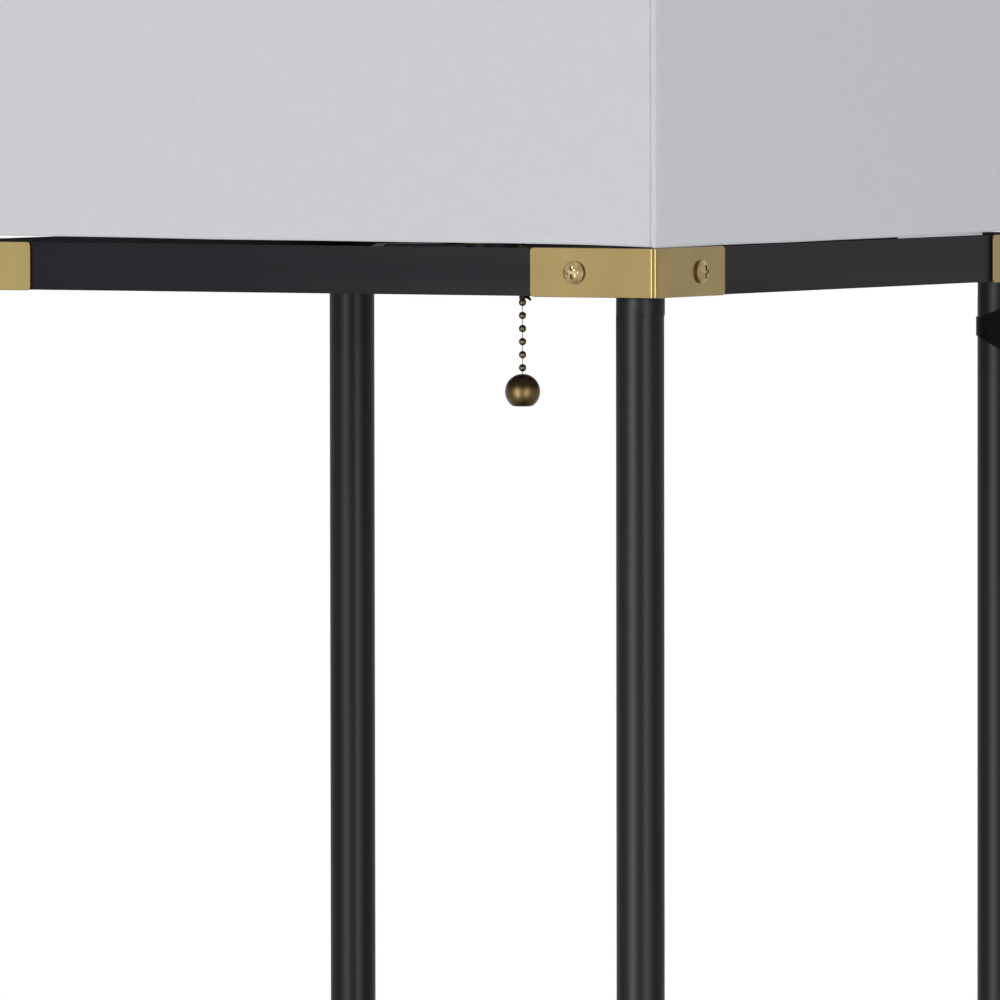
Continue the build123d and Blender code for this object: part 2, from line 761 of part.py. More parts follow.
def coil_edges():
    """In on the lower layer, up a layer in one half turn, and out again on the upper layer."""
    mid_x = coil_middle[0]
    step = coil_pitch / 2
    edges = [Edge.make_line(coil_entry, Vector(mid_x, coil_entry.Y, coil_z))]
    y = coil_entry.Y
    z = coil_z
    side_of = -1
    radius = coil_outer
    for _ in range(coil_half_turns):
        edges.append(half_turn(mid_x, y, z, side_of * radius))
        y += 2 * side_of * radius
        side_of = -side_of
        radius -= step
    rise = 1.5 * coil_layer / (pi * radius)
    middle_way = Vector(0, side_of, rise).normalized()
    middle = Vector(mid_x + side_of * radius, y + side_of * radius, z + coil_layer / 2)
    edges += biarc(Vector(mid_x, y, z), Vector(side_of, 0, 0), middle, middle_way)
    y += 2 * side_of * radius
    z += coil_layer
    edges += biarc(middle, middle_way, Vector(mid_x, y, z), Vector(-side_of, 0, 0))
    side_of = -side_of
    for _ in range(coil_half_turns):
        radius += step
        edges.append(half_turn(mid_x, y, z, side_of * radius))
        y += 2 * side_of * radius
        side_of = -side_of
    end = Vector(mid_x + side_of * coil_lead_out, y, z)
    edges.append(Edge.make_line(Vector(mid_x, y, z), end))
    return edges, end


coil_path_edges, coil_end = coil_edges()


def cord_coil():
    path = Wire(coil_path_edges)
    section = Plane(origin=path @ 0, z_dir=path % 0) * Circle(cord_radius)
    body = sweep(section, path)
    print("coil volume / (section x length):", round(body.volume / (pi * cord_radius**2 * path.length), 4))
    print("coil length:", round(path.length, 1))
    count = int(path.length / 3.0)
    spots = [path @ (k / count) for k in range(count + 1)]
    near = int(4 * cord_diameter / 3.0)
    least = min(
        (spots[i] - spots[j]).length for i in range(count + 1) for j in range(i + near, count + 1)
    )
    print("coil least gap to itself:", round(least - cord_diameter, 3))
    return body


def coil_tie():
    """A strap round the bundle of turns on the coil's left side."""
    inner_low = coil_inner - cord_radius - coil_tie_inside
    inner_high = coil_outer + cord_radius + coil_tie_outside
    bottom = coil_tie_sheet
    top = coil_z + coil_layer + cord_radius + coil_tie_above
    width = inner_high - inner_low
    height = top - bottom
    hole = Box(width, coil_tie_width, height)
    strap = Box(width + 2 * coil_tie_sheet, coil_tie_width, height + 2 * coil_tie_sheet)
    strap = fillet(strap.edges().filter_by(Axis.Y), coil_tie_sheet)
    place = Pos(coil_middle[0] - (inner_low + inner_high) / 2, coil_middle[1], (bottom + top) / 2)
    return place * (strap - hole)


def plug_body():
    """Moulded plug lying on the floor, with its tapered strain relief meeting the coil's end."""
    height = 2 * coil_end.Z
    grip = Pos(plug_relief + plug_length / 2, 0, 0) * Box(plug_length, plug_width, height)
    grip = fillet(grip.edges().filter_by(Axis.X), plug_round)
    grip = fillet(grip.faces().sort_by(Axis.X)[0].edges(), plug_round / 2)
    cone = Cone(cord_radius + relief_end_wall, cord_radius + relief_plug_wall, plug_relief)
    body = grip + Pos(plug_relief / 2, 0, 0) * Rot(0, 90, 0) * cone
    groove_radii = (cord_radius + relief_groove_reach, cord_radius + relief_groove_wall)
    ring = tube(*groove_radii, relief_groove_width, 0, 0, -relief_groove_width / 2)
    for groove_x in relief_grooves:
        body -= Pos(groove_x, 0, 0) * Rot(0, 90, 0) * ring
    slot = Box(blade_root, blade_sheet + 2 * fit_gap, blade_width + 2 * fit_gap)
    for sy in (-1, 1):
        body -= Pos(plug_relief + plug_length - blade_root / 2, sy * blade_spacing / 2, 0) * slot
    return Pos(coil_end) * body


def plug_blades():
    start = plug_relief + plug_length - blade_root
    end = plug_relief + plug_length + blade_length
    blades = []
    for sy in (-1, 1):
        blade = Pos((start + end) / 2, sy * blade_spacing / 2, 0) * Box(end - start, blade_sheet, blade_width)
        blades.append(Pos(coil_end) * blade)
    return Compound(children=blades)


def leg_tie(z):
    """A strap drawn round a leg and the cord beside it."""
    inner = leg_and_cord_outline(tie_slack)
    outer = leg_and_cord_outline(tie_slack + tie_sheet)
    band = extrude(outer - inner, tie_height)
    place = Pos(leg_at, leg_at, z - tie_height / 2) * Rot(0, 0, cord_side_angle)
    return place * band


def leg_and_cord_outline(margin):
    """The outline drawn round the leg's circle and the cord's, margin away from both."""
    big = leg_radius + margin
    small = cord_radius + margin
    lean = (big - small) / cord_reach
    rise = sqrt(1 - lean * lean)
    upper_big = (big * lean, big * rise)
    upper_small = (cord_reach + small * lean, small * rise)
    lower_small = (upper_small[0], -upper_small[1])
    lower_big = (upper_big[0], -upper_big[1])
    edges = Line(upper_big, upper_small).edges()
    edges += ThreePointArc(upper_small, (cord_reach + small, 0), lower_small).edges()
    edges += Line(lower_small, lower_big).edges()
    edges += ThreePointArc(lower_big, (-big, 0), upper_big).edges()
    return make_face(edges)


def bar_tie():
    """A strap that holds the cord to the side of the crossbar."""
    low_s = -bar_width / 2 - bar_tie_slack
    low_z = bar_end_z - bar_tie_slack
    high_z = bar_end_z + bar_tie_top
    width = bar_tie_side - low_s
    height = high_z - low_z
    strap = Box(tie_height, width + 2 * tie_sheet, height + 2 * tie_sheet)
    strap = fillet(strap.edges().filter_by(Axis.X), tie_sheet)
    strap -= Box(tie_height, width, height)
    return Rot(0, 0, 45) * Pos(bar_tie_from_middle, (low_s + bar_tie_side) / 2, (low_z + high_z) / 2) * strap


def cord_ties():
    """One tie on the crossbar, one under the ring, one low in each bay and one below the lowest shelf."""
    ties = [bar_tie(), leg_tie(ring_z - top_tie_drop), leg_tie(last_tie_z)]
    for name in ("lower", "middle", "upper"):
        ties.append(leg_tie(frame_z[name] + band_height + bay_tie_rise))
    return Compound(children=ties)


# --- write every piece ---
frame_names = {"lower": "lower_shelf", "middle": "middle_shelf", "upper": "upper_shelf", "ring": "top_ring"}
for name, z in frame_z.items():
    write(frame_names[name] + ("" if name == "ring" else "_frame"), band_frame(z))
    write(frame_names[name] + "_brackets", brackets(z))
    if name != "ring":
        write(frame_names[name] + "_board", board(z))
write("bracket_screws", all_bracket_screws())
tiers = {
    "foot": (pad_floor, floor_clearance - pad_floor, False),
    "lower": (frame_z["lower"] + gusset_sheet, leg_length, True),
    "middle": (frame_z["middle"] + gusset_sheet, leg_length, True),
    "upper": (frame_z["upper"] + gusset_sheet, leg_length, True),
}
for tier, (z, length, plugged) in tiers.items():
    one = leg(z, length, plugged)
    for corner, (sx, sy) in corners.items():
        write(tier + "_leg_" + corner, Pos(sx * leg_at, sy * leg_at, 0) * one)
write("foot_pads", foot_pads())
write("leg_studs", leg_studs())
write("ring_bolts", ring_bolts())
write("socket_crossbar", crossbar())
write("socket_nipple", nipple())
write("nipple_nuts", nipple_nuts())
write("socket_cap", socket_cap())
write("socket_shell", socket_shell())
write("socket_core", socket_core())
write("socket_contacts", socket_contacts())
write("chain_guide", chain_guide())
write("switch_lever", switch_lever())
write("shade_ring_nut", shade_ring_nut())
write("shade_cover", square_sleeve(half, cover_sheet, shade_corner, shade_z))
liner_half = half - cover_sheet - fit_gap
write("shade_liner", square_sleeve(liner_half, liner_sheet, shade_corner - cover_sheet, liner_z))
write("shade_top_wire", square_wire(shade_top - wire_diameter / 2))
write("shade_bottom_frame", shade_bottom_frame())
write("bulb_base", bulb_base())
write("bulb_globe", bulb_globe())
write("chain_stem", chain_stem())
write("chain_upper", chain_upper())
write("chain_lower", chain_lower())
write("pull_ball", pull_ball())
write("lamp_cord", lamp_cord())
write("floor_cord", floor_cord())
write("cord_coil", cord_coil())
write("plug_body", plug_body())
write("plug_blades", plug_blades())
write("cord_ties", cord_ties())
write("coil_tie", coil_tie())
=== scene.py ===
# %% [markdown]
# A square shelf floor lamp, dressed for its picture.
# The real lamp is a cage of black tubes and flat bands, with brass angles on its corners, a linen
# shade on top and a pull chain with a ball. The engineering model gives every size and place. This
# lesson adds the finishes, the small round edges and the soft parts around that fixed model.

# %% Load the fixed model
import math

import bmesh
import bpy
from mathutils import Matrix, Vector


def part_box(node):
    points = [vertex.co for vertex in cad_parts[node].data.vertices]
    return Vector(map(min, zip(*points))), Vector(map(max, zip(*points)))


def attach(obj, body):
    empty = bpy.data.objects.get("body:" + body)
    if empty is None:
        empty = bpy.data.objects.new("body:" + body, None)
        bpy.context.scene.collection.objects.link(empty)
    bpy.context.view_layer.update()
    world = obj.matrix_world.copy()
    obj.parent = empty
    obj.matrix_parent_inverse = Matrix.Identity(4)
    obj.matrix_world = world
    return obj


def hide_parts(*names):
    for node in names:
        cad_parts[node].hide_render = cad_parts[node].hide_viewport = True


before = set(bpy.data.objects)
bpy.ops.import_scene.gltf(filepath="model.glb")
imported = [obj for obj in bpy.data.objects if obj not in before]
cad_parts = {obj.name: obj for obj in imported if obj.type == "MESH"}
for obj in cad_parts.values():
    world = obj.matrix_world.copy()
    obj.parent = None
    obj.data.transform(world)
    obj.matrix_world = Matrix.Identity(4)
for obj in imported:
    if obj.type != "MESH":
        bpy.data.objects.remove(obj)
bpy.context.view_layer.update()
MM = 0.001

# %% [markdown]
# The camera stands well back with a long lens, as a shop photographer's does, so the lamp's upright
# tubes stay nearly parallel. Its place was found by matching the ring's corners, the screws and the
# tubes. A target empty would aim it too, but three plain angles say exactly the same and never drift.

# %% Camera
azimuth = math.radians(29.442)
pitch = math.radians(2.301)
roll = math.radians(-0.078)
look = Vector((-math.sin(azimuth) * math.cos(pitch), math.cos(azimuth) * math.cos(pitch), -math.sin(pitch)))
level_right = Vector((math.cos(azimuth), math.sin(azimuth), 0))
level_up = level_right.cross(look)
right = level_right * math.cos(roll) + level_up * math.sin(roll)
up = right.cross(look)

camera_place = Vector((2.38591, -4.21998, 1.34902))
lens = bpy.data.cameras.new("camera")
lens.sensor_width = 36
lens.lens = 489.5
lens.clip_end = 200
camera = bpy.data.objects.new("camera", lens)
bpy.context.scene.collection.objects.link(camera)
turn = Matrix((right, up, -look)).transposed().to_4x4()
camera.matrix_world = Matrix.Translation(camera_place) @ turn
bpy.context.scene.camera = camera
print("camera looks along", [round(v, 3) for v in look])

# %% [markdown]
# Every finish below starts the same way: a principled shader, then a few texture nodes that read a
# point on the object. One function adds a node with its settings and links. Colours are written as
# the hex values that a paint card would give, and one function turns them into linear light.

# %% Helpers for finishes
def linear(code):
    """The linear colour for six sRGB hex digits."""
    parts = [int(code[k : k + 2], 16) / 255 for k in (0, 2, 4)]
    return tuple(p / 12.92 if p <= 0.04045 else ((p + 0.055) / 1.055) ** 2.4 for p in parts) + (1.0,)


def add_node(finish, kind, values=None, links=None):
    """One new node. Values are settings or unlinked sockets, and links are sockets and their sources."""
    node = finish.node_tree.nodes.new("ShaderNode" + kind)
    for name, value in (values or {}).items():
        if isinstance(name, str) and hasattr(node, name):
            setattr(node, name, value)
        else:
            node.inputs[name].default_value = value
    for name, source in (links or {}).items():
        finish.node_tree.links.new(source, node.inputs[name])
    return node


def new_finish(name, colour, roughness, **sockets):
    """A named material and its principled shader, with the numbers that are the same all over."""
    finish = bpy.data.materials.new(name)
    finish.use_nodes = True
    shader = finish.node_tree.nodes["Principled BSDF"]
    shader.inputs["Base Color"].default_value = linear(colour)
    shader.inputs["Roughness"].default_value = roughness
    for socket, value in sockets.items():
        shader.inputs[socket.replace("_", " ")].default_value = value
    return finish, shader


def per_metre(size_mm):
    """The texture scale that makes a pattern repeat about every size_mm."""
    return 1 / (size_mm * MM)


def shades(finish, source, low, high, start=0.3, end=0.7):
    """A colour ramp from one hex colour to another."""
    ramp = add_node(finish, "ValToRGB", links={"Fac": source})
    ramp.color_ramp.elements[0].position = start
    ramp.color_ramp.elements[0].color = linear(low)
    ramp.color_ramp.elements[1].position = end
    ramp.color_ramp.elements[1].color = linear(high)
    return ramp.outputs["Color"]


def wire(finish, source, shader, socket):
    finish.node_tree.links.new(source, shader.inputs[socket])


def vary_colour(finish, shader, source, low, high, start=0.3, end=0.7):
    """A base colour that follows a texture between two hex colours."""
    wire(finish, shades(finish, source, low, high, start, end), shader, "Base Color")


def vary_roughness(finish, shader, source, low, high):
    """A roughness that follows a texture between two values."""
    spread = add_node(finish, "MapRange", {"To Min": low, "To Max": high}, {"Value": source})
    wire(finish, spread.outputs["Result"], shader, "Roughness")


def bump(finish, shader, height, depth_mm, strength):
    """Relief of a real depth, from a texture."""
    relief = add_node(finish, "Bump", {"Distance": depth_mm * MM, "Strength": strength}, {"Height": height})
    wire(finish, relief.outputs["Normal"], shader, "Normal")


def own_place(finish, stretch=(1, 1, 1)):
    """Object coordinates, stretched along the way that a pattern runs."""
    spot = add_node(finish, "TexCoord")
    mapped = add_node(finish, "Mapping", {"Scale": stretch}, {"Vector": spot.outputs["Object"]})
    return mapped.outputs["Vector"]


print("white paint is", linear("ffffff"))

# %% [markdown]
# The mains lead is a round PVC flex with a black sheath, extruded smooth, so it has a soft low gloss
# and the faintest ripple. It is needed first because the lead's route decides how far the model spreads.

# %% Black PVC sheath
def pvc_sheath():
    finish, shader = new_finish("black_pvc_sheath", "17171a", 0.42, IOR=1.53)
    spot = own_place(finish)
    ripple = add_node(finish, "TexNoise", {"Scale": per_metre(4), "Detail": 3.0}, {"Vector": spot})
    vary_colour(finish, shader, ripple.outputs["Fac"], "131315", "1d1d20")
    vary_roughness(finish, shader, ripple.outputs["Fac"], 0.36, 0.5)
    bump(finish, shader, ripple.outputs["Fac"], 0.04, 0.4)
    return finish


sheath = pvc_sheath()
print("made", sheath.name)

# %% [markdown]
# The free lead drops from the last tie on the rear right leg, lands, sweeps behind the lamp and goes
# into a neat storage coil of two layers. A cord could be a swept mesh, but one smooth spline with a
# round section keeps its real length and never kinks. The coil's turns are worked out: each half turn
# is half a circle, and the next one is a little smaller, so the turns lie side by side.

# %% The free lead and its coil
lead_radius = 2.5 * MM
lead_x = 125.46 * MM
lead_y = 140.96 * MM
lead_low = 3.1 * MM
coil_x = 30 * MM
coil_inner = 21 * MM
coil_step = 2.75 * MM
coil_layer = 5.5 * MM
half_turns = 6
points_per_half = 8
coil_outer = coil_inner + half_turns * coil_step
coil_start_y = 244.5 * MM
lead_out = 15 * MM

route = [
    Vector((lead_x, lead_y, 47 * MM)),
    Vector((lead_x, lead_y, 26 * MM)),
    Vector((126.0 * MM, 163.5 * MM, lead_low)),
    Vector((123.5 * MM, 194.0 * MM, lead_low)),
    Vector((111.0 * MM, 221.0 * MM, lead_low)),
    Vector((90.0 * MM, 239.0 * MM, lead_low)),
    Vector((62.0 * MM, coil_start_y, lead_low)),
    Vector((35.0 * MM, coil_start_y, lead_low)),
]


def half_turn(start, side, radius, rise):
    """Control points of half a circle from start, bulging to the left (side -1) or right (side 1)."""
    step = math.pi / points_per_half
    reach = radius / math.cos(step / 2)
    middle_y = start.y + side * radius
    points = []
    for k in range(points_per_half):
        angle = (k + 0.5) * step
        x = coil_x + side * reach * math.sin(angle)
        y = middle_y - side * reach * math.cos(angle)
        points.append(Vector((x, y, start.z + rise * (k + 0.5) / points_per_half)))
    return points, Vector((coil_x, start.y + 2 * side * radius, start.z + rise))


def coil_points():
    """In over the lower layer, up in one half turn, and out again over the upper layer."""
    place = Vector((coil_x, coil_start_y, lead_low))
    radii = [coil_outer - k * coil_step for k in range(half_turns + 1)]
    radii += list(reversed(radii[:-1]))
    points = []
    side = -1
    for k, radius in enumerate(radii):
        rise = coil_layer if k == half_turns else 0
        half, place = half_turn(place, side, radius, rise)
        points += half
        side = -side
    points.append(place)
    points.append(place + Vector((lead_out, 0, 0)))
    return points


def smooth_line(name, points, radius):
    """A round cord along one smooth spline."""
    curve = bpy.data.curves.new(name, "CURVE")
    curve.dimensions = "3D"
    curve.bevel_depth = radius
    curve.bevel_resolution = 5
    curve.resolution_u = 5
    line = curve.splines.new("NURBS")
    line.points.add(len(points) - 1)
    for spot, point in zip(line.points, points):
        spot.co = (*point, 1)
    line.order_u = 3
    line.use_endpoint_u = True
    piece = bpy.data.objects.new(name, curve)
    bpy.context.scene.collection.objects.link(piece)
    return piece


free_lead = smooth_line("free_lead", route + coil_points(), lead_radius)
free_lead.data.materials.append(sheath)
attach(free_lead, "lamp")
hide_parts("floor_cord", "cord_coil")
print("free lead has", len(free_lead.data.splines[0].points), "control points")

# %% [markdown]
# The bands and tubes are steel with a satin black powder coat. Powder is sprayed dry and baked, and it
# flows into a skin with very fine orange peel and no grain. It is darker and less glossy than enamel.
# The coat's index starts near 1.5 and is brought down until its sheen matches the lamp's.

# %% Satin black powder coat
def powder_coat(name, dark, light, roughness, index):
    finish, shader = new_finish(name, dark, roughness, IOR=index)
    spot = own_place(finish)
    peel = add_node(finish, "TexNoise", {"Scale": per_metre(0.9), "Detail": 2.0}, {"Vector": spot})
    drift = add_node(finish, "TexNoise", {"Scale": per_metre(60), "Detail": 4.0}, {"Vector": spot})
    vary_colour(finish, shader, drift.outputs["Fac"], dark, light)
    vary_roughness(finish, shader, drift.outputs["Fac"], roughness - 0.03, roughness + 0.03)
    bump(finish, shader, peel.outputs["Fac"], 0.02, 0.35)
    return finish


band_coat = powder_coat("band_powder_coat", "161419", "1a181d", 0.35, 1.14)
tube_coat = powder_coat("tube_powder_coat", "0e0d11", "121115", 0.42, 1.2)
print("made", band_coat.name, "and", tube_coat.name)

# %% [markdown]
# The corner angles are sheet brass, brushed along their length and lacquered. Brushing leaves fine
# scratches that spread a reflection, so the flat looks even and soft while the bend catches bright
# lines. The chain is the same alloy, plated and dulled to antique bronze, and the screws are polished.

# %% Brass finishes
def brushed_brass():
    finish, shader = new_finish("lacquered_brushed_brass", "89764b", 0.17, Metallic=1.0)
    along = own_place(finish, (0.08, 0.08, 1))
    scratch = add_node(finish, "TexNoise", {"Scale": per_metre(0.5), "Detail": 3.0}, {"Vector": along})
    spot = own_place(finish)
    cloud = add_node(finish, "TexNoise", {"Scale": per_metre(25), "Detail": 2.0}, {"Vector": spot})
    vary_colour(finish, shader, cloud.outputs["Fac"], "857247", "8e7b50")
    vary_roughness(finish, shader, scratch.outputs["Fac"], 0.14, 0.2)
    bump(finish, shader, scratch.outputs["Fac"], 0.003, 0.3)
    return finish


def polished_brass(name, dark, light, roughness):
    finish, shader = new_finish(name, light, roughness, Metallic=1.0)
    spot = own_place(finish)
    cloud = add_node(finish, "TexNoise", {"Scale": per_metre(3), "Detail": 3.0}, {"Vector": spot})
    vary_colour(finish, shader, cloud.outputs["Fac"], dark, light, 0.35, 0.65)
    vary_roughness(finish, shader, cloud.outputs["Fac"], roughness * 0.8, roughness * 1.3)
    return finish


def antique_bronze(name, dark, light, roughness):
    """Plated, tumbled and waxed, so it is patchy, with painted shade darkening the faces that look up."""
    finish, shader = new_finish(name, light, roughness, Metallic=1.0)
    spot = own_place(finish)
    rub = add_node(finish, "TexNoise", {"Scale": per_metre(4), "Detail": 3.0}, {"Vector": spot})
    rubbed = shades(finish, rub.outputs["Fac"], dark, light)
    # Painted shade: faces that look up are multiplied darker, by the surface normal.
    facing = add_node(finish, "SeparateXYZ", links={0: add_node(finish, "NewGeometry").outputs["Normal"]})
    painted_top_shade = shades(finish, facing.outputs["Z"], "ffffff", "8a8078", 0.1, 0.8)
    painted_shade_mix = {"data_type": "RGBA", "blend_type": "MULTIPLY", 0: 1.0}
    rubbed_with_painted_shade = add_node(finish, "Mix", painted_shade_mix, {6: rubbed, 7: painted_top_shade})
    wire(finish, rubbed_with_painted_shade.outputs[2], shader, "Base Color")
    vary_roughness(finish, shader, rub.outputs["Fac"], roughness - 0.03, roughness + 0.03)
    bump(finish, shader, rub.outputs["Fac"], 0.01, 0.2)
    return finish


corner_brass = brushed_brass()
screw_brass = polished_brass("polished_screw_brass", "8e7c58", "ad9a6f", 0.16)
socket_brass = polished_brass("drawn_socket_brass", "b49a5c", "ccb273", 0.22)
chain_bronze = antique_bronze("antique_bronze_plate", "443823", "544730", 0.38)
bead_bronze = antique_bronze("bead_bronze_plate", "3b3225", "4b4132", 0.42)
# The coupler is given a near-black bronze.
coupler_bronze = antique_bronze("near_black_bronze_plate", "120f0c", "1d1914", 0.42)
print("made six brasses")

# %% [markdown]
# The shade is fine off-white linen laminated to a stiff white styrene sheet. Linen threads vary in
# thickness, so the cloth shows short soft streaks both ways. Real threads, about 0.4 mm apart, are too
# fine to show here, so the streaks are drawn 0.7 mm wide, over a faint relief that is coarser still.
# The pattern follows the cloth round the corners, so it reads the piece's own map, which is in metres.
# Beside the front right corner, where the strip laps over itself, a thin grey line of painted shadow
# is drawn along its edge, and the back face, which reads the same map, has that line too.

# %% Linen and the other shade finishes
lap_edge = 148 * MM


def linen():
    finish, shader = new_finish(
        "off_white_linen", "cecfd3", 0.9, IOR=1.45, Sheen_Weight=0.05, Sheen_Roughness=0.5
    )
    cloth = add_node(finish, "UVMap", {"uv_map": "cloth"}).outputs["UV"]
    layers = []
    for stretch in ((1, 0.05, 1), (0.05, 1, 1)):
        along = add_node(finish, "Mapping", {"Scale": stretch}, {"Vector": cloth}).outputs["Vector"]
        slub = add_node(finish, "TexNoise", {"Scale": per_metre(0.7), "Detail": 3.0}, {"Vector": along})
        layers.append(slub.outputs["Fac"])
    both = add_node(finish, "Math", {"operation": "ADD"}, {0: layers[0], 1: layers[1]})
    half = add_node(finish, "Math", {"operation": "MULTIPLY", 1: 0.5}, {0: both.outputs["Value"]})
    threads = shades(finish, half.outputs["Value"], "cbccd0", "d1d2d6")
    along = add_node(finish, "SeparateXYZ", links={0: cloth}).outputs["X"]
    # Painted shadow: a thin grey line along the lap's edge.
    lap_shadow_mask = add_node(finish, "Math", {"operation": "COMPARE", 1: lap_edge, 2: 0.3 * MM}, {0: along})
    linen_with_lap_shadow = add_node(
        finish, "Mix", {"data_type": "RGBA", 7: linear("b6b6b9")}, {0: lap_shadow_mask.outputs["Value"], 6: threads}
    )
    wire(finish, linen_with_lap_shadow.outputs[2], shader, "Base Color")
    # The wave texture turns 20 radians in a unit, so this is a wave in 2 pi times 0.6 mm, about 3.8 mm.
    radians_per_unit = 20
    mm_per_radian = 0.6
    weave = []
    for way in ("X", "Y"):
        band = {"Scale": per_metre(mm_per_radian) / radians_per_unit, "bands_direction": way}
        weave.append(add_node(finish, "TexWave", band, {"Vector": cloth}).outputs["Fac"])
    crossed = add_node(finish, "Math", {"operation": "MULTIPLY"}, {0: weave[0], 1: weave[1]})
    heights = {0: crossed.outputs["Value"], 1: half.outputs["Value"]}
    relief = add_node(finish, "Math", {"operation": "ADD"}, heights)
    bump(finish, shader, relief.outputs["Value"], 0.05, 0.2)
    return finish


def styrene():
    """Calendered white plastic sheet: even, bright and a little glossy."""
    finish, shader = new_finish("white_styrene_liner", "e9e8e4", 0.5, IOR=1.59)
    spot = own_place(finish)
    haze = add_node(finish, "TexNoise", {"Scale": per_metre(60), "Detail": 2.0}, {"Vector": spot})
    vary_colour(finish, shader, haze.outputs["Fac"], "e7e6e3", "ebeae7")
    return finish


def white_lacquer():
    """Dipped white wire: a thick glossy coat that pulls back a little from the welds."""
    finish, shader = new_finish("white_wire_lacquer", "dddcd8", 0.35, IOR=1.5)
    spot = own_place(finish)
    pool = add_node(finish, "TexNoise", {"Scale": per_metre(6), "Detail": 3.0}, {"Vector": spot})
    vary_colour(finish, shader, pool.outputs["Fac"], "d6d5d0", "e4e3df")
    bump(finish, shader, pool.outputs["Fac"], 0.05, 0.3)
    return finish


shade_linen = linen()
shade_styrene = styrene()
shade_lacquer = white_lacquer()
print("made", shade_linen.name, shade_styrene.name, shade_lacquer.name)

# %% [markdown]
# The remaining finishes belong to pieces that the shade and the shelves half hide: black-stained ash
# veneer on the boards, moulded phenolic in the socket, zinc on the hardware, rubber on the feet and
# plug, and the bulb's opal glass on a rolled aluminium base.

# %% Finishes for boards, hardware, socket and bulb
def black_ash():
    """Open-grained ash under black stain: the pores stay as fine dark lines along X."""
    finish, shader = new_finish("black_stained_ash", "242220", 0.5, IOR=1.5)
    along = own_place(finish, (0.06, 1, 1))
    pores = add_node(finish, "TexNoise", {"Scale": per_metre(1.6), "Detail": 6.0}, {"Vector": along})
    wavy = {"Scale": per_metre(14), "Detail": 2.0, "Distortion": 0.6}
    rings = add_node(finish, "TexNoise", wavy, {"Vector": along})
    grain = {0: pores.outputs["Fac"], 1: rings.outputs["Fac"]}
    both = add_node(finish, "Math", {"operation": "MULTIPLY"}, grain)
    vary_colour(finish, shader, both.outputs["Value"], "171514", "3a3734", 0.12, 0.42)
    vary_roughness(finish, shader, pores.outputs["Fac"], 0.62, 0.42)
    bump(finish, shader, pores.outputs["Fac"], 0.12, 0.5)
    return finish


def moulded(name, dark, light, roughness, grain_mm, index=1.4):
    """A black plastic or rubber with the fine texture of its mould."""
    finish, shader = new_finish(name, dark, roughness, IOR=index)
    spot = own_place(finish)
    grain = add_node(finish, "TexNoise", {"Scale": per_metre(grain_mm), "Detail": 3.0}, {"Vector": spot})
    vary_colour(finish, shader, grain.outputs["Fac"], dark, light)
    bump(finish, shader, grain.outputs["Fac"], 0.03, 0.4)
    return finish


def bare_metal(name, dark, light, roughness, grain_mm):
    """Plated or bare metal with a cloudy surface."""
    finish, shader = new_finish(name, light, roughness, Metallic=1.0)
    spot = own_place(finish)
    cloud = add_node(finish, "TexNoise", {"Scale": per_metre(grain_mm), "Detail": 4.0}, {"Vector": spot})
    vary_colour(finish, shader, cloud.outputs["Fac"], dark, light)
    vary_roughness(finish, shader, cloud.outputs["Fac"], roughness - 0.06, roughness + 0.08)
    return finish


def opal_glass():
    """Flashed white glass: mostly white, glossy outside, light passes softly."""
    finish, shader = new_finish("opal_bulb_glass", "f0efe9", 0.12, IOR=1.5, Subsurface_Weight=0.3)
    shader.inputs["Subsurface Scale"].default_value = 0.004
    spot = own_place(finish)
    depth = add_node(finish, "TexNoise", {"Scale": per_metre(20), "Detail": 1.0}, {"Vector": spot})
    vary_colour(finish, shader, depth.outputs["Fac"], "ecebe5", "f4f3ee")
    return finish


board_ash = black_ash()
phenolic = moulded("moulded_phenolic", "19181a", "222022", 0.4, 1.5)
foot_rubber = moulded("moulded_foot_rubber", "151516", "1c1c1d", 0.6, 0.8)
plug_rubber = moulded("moulded_plug_rubber", "17171a", "1f1f22", 0.5, 0.8)
tie_nylon = moulded("nylon_tie", "0a090b", "121114", 0.55, 1.2, 1.12)
zinc = bare_metal("bright_zinc_plate", "8f9294", "a9abac", 0.32, 3)
contact_metal = bare_metal("bare_contact_brass", "b0934f", "c9ad69", 0.3, 2)
rolled_aluminium = bare_metal("rolled_aluminium", "b4b4b3", "c8c8c6", 0.28, 2)
opal = opal_glass()
print("made nine more finishes")

# %% [markdown]
# Pieces whose engineered shape is already right keep it, and only take a finish.

# %% Dress the pieces that stay
dressed = {
    "leg_studs": zinc,
    "ring_bolts": zinc,
    "socket_nipple": zinc,
    "nipple_nuts": zinc,
    "socket_core": phenolic,
    "socket_contacts": contact_metal,
    "switch_lever": contact_metal,
    "shade_top_wire": shade_lacquer,
    "shade_bottom_frame": shade_lacquer,
    "shade_liner": shade_styrene,
    "lamp_cord": sheath,
    "plug_blades": contact_metal,
    "chain_guide": socket_brass,
    "chain_stem": chain_bronze,
    "coil_tie": tie_nylon,
}


def dress(node, finish):
    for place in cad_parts[node].material_slots:
        place.material = finish


for node, finish in dressed.items():
    dress(node, finish)
print("dressed", len(dressed), "pieces")

# %% [markdown]
# Real sheet metal and boards never have knife edges: stamping, coating and sanding leave a small
# radius that catches a line of light. For pieces with a complicated engineered shape, a copy is
# merged, its flat faces are joined up, and a bevel modifier rounds the edges.

# %% Pieces with softened edges
def finished_piece(name, mesh, finish, body, nodes, smooth_angle=35):
    """Links a mesh as a piece that rides a body and stands for its nodes."""
    piece = bpy.data.objects.new(name, mesh)
    bpy.context.scene.collection.objects.link(piece)
    mesh.materials.clear()
    mesh.materials.append(finish)
    mesh.shade_smooth()
    mesh.set_sharp_from_angle(angle=math.radians(smooth_angle))
    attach(piece, body)
    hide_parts(*nodes)
    return piece


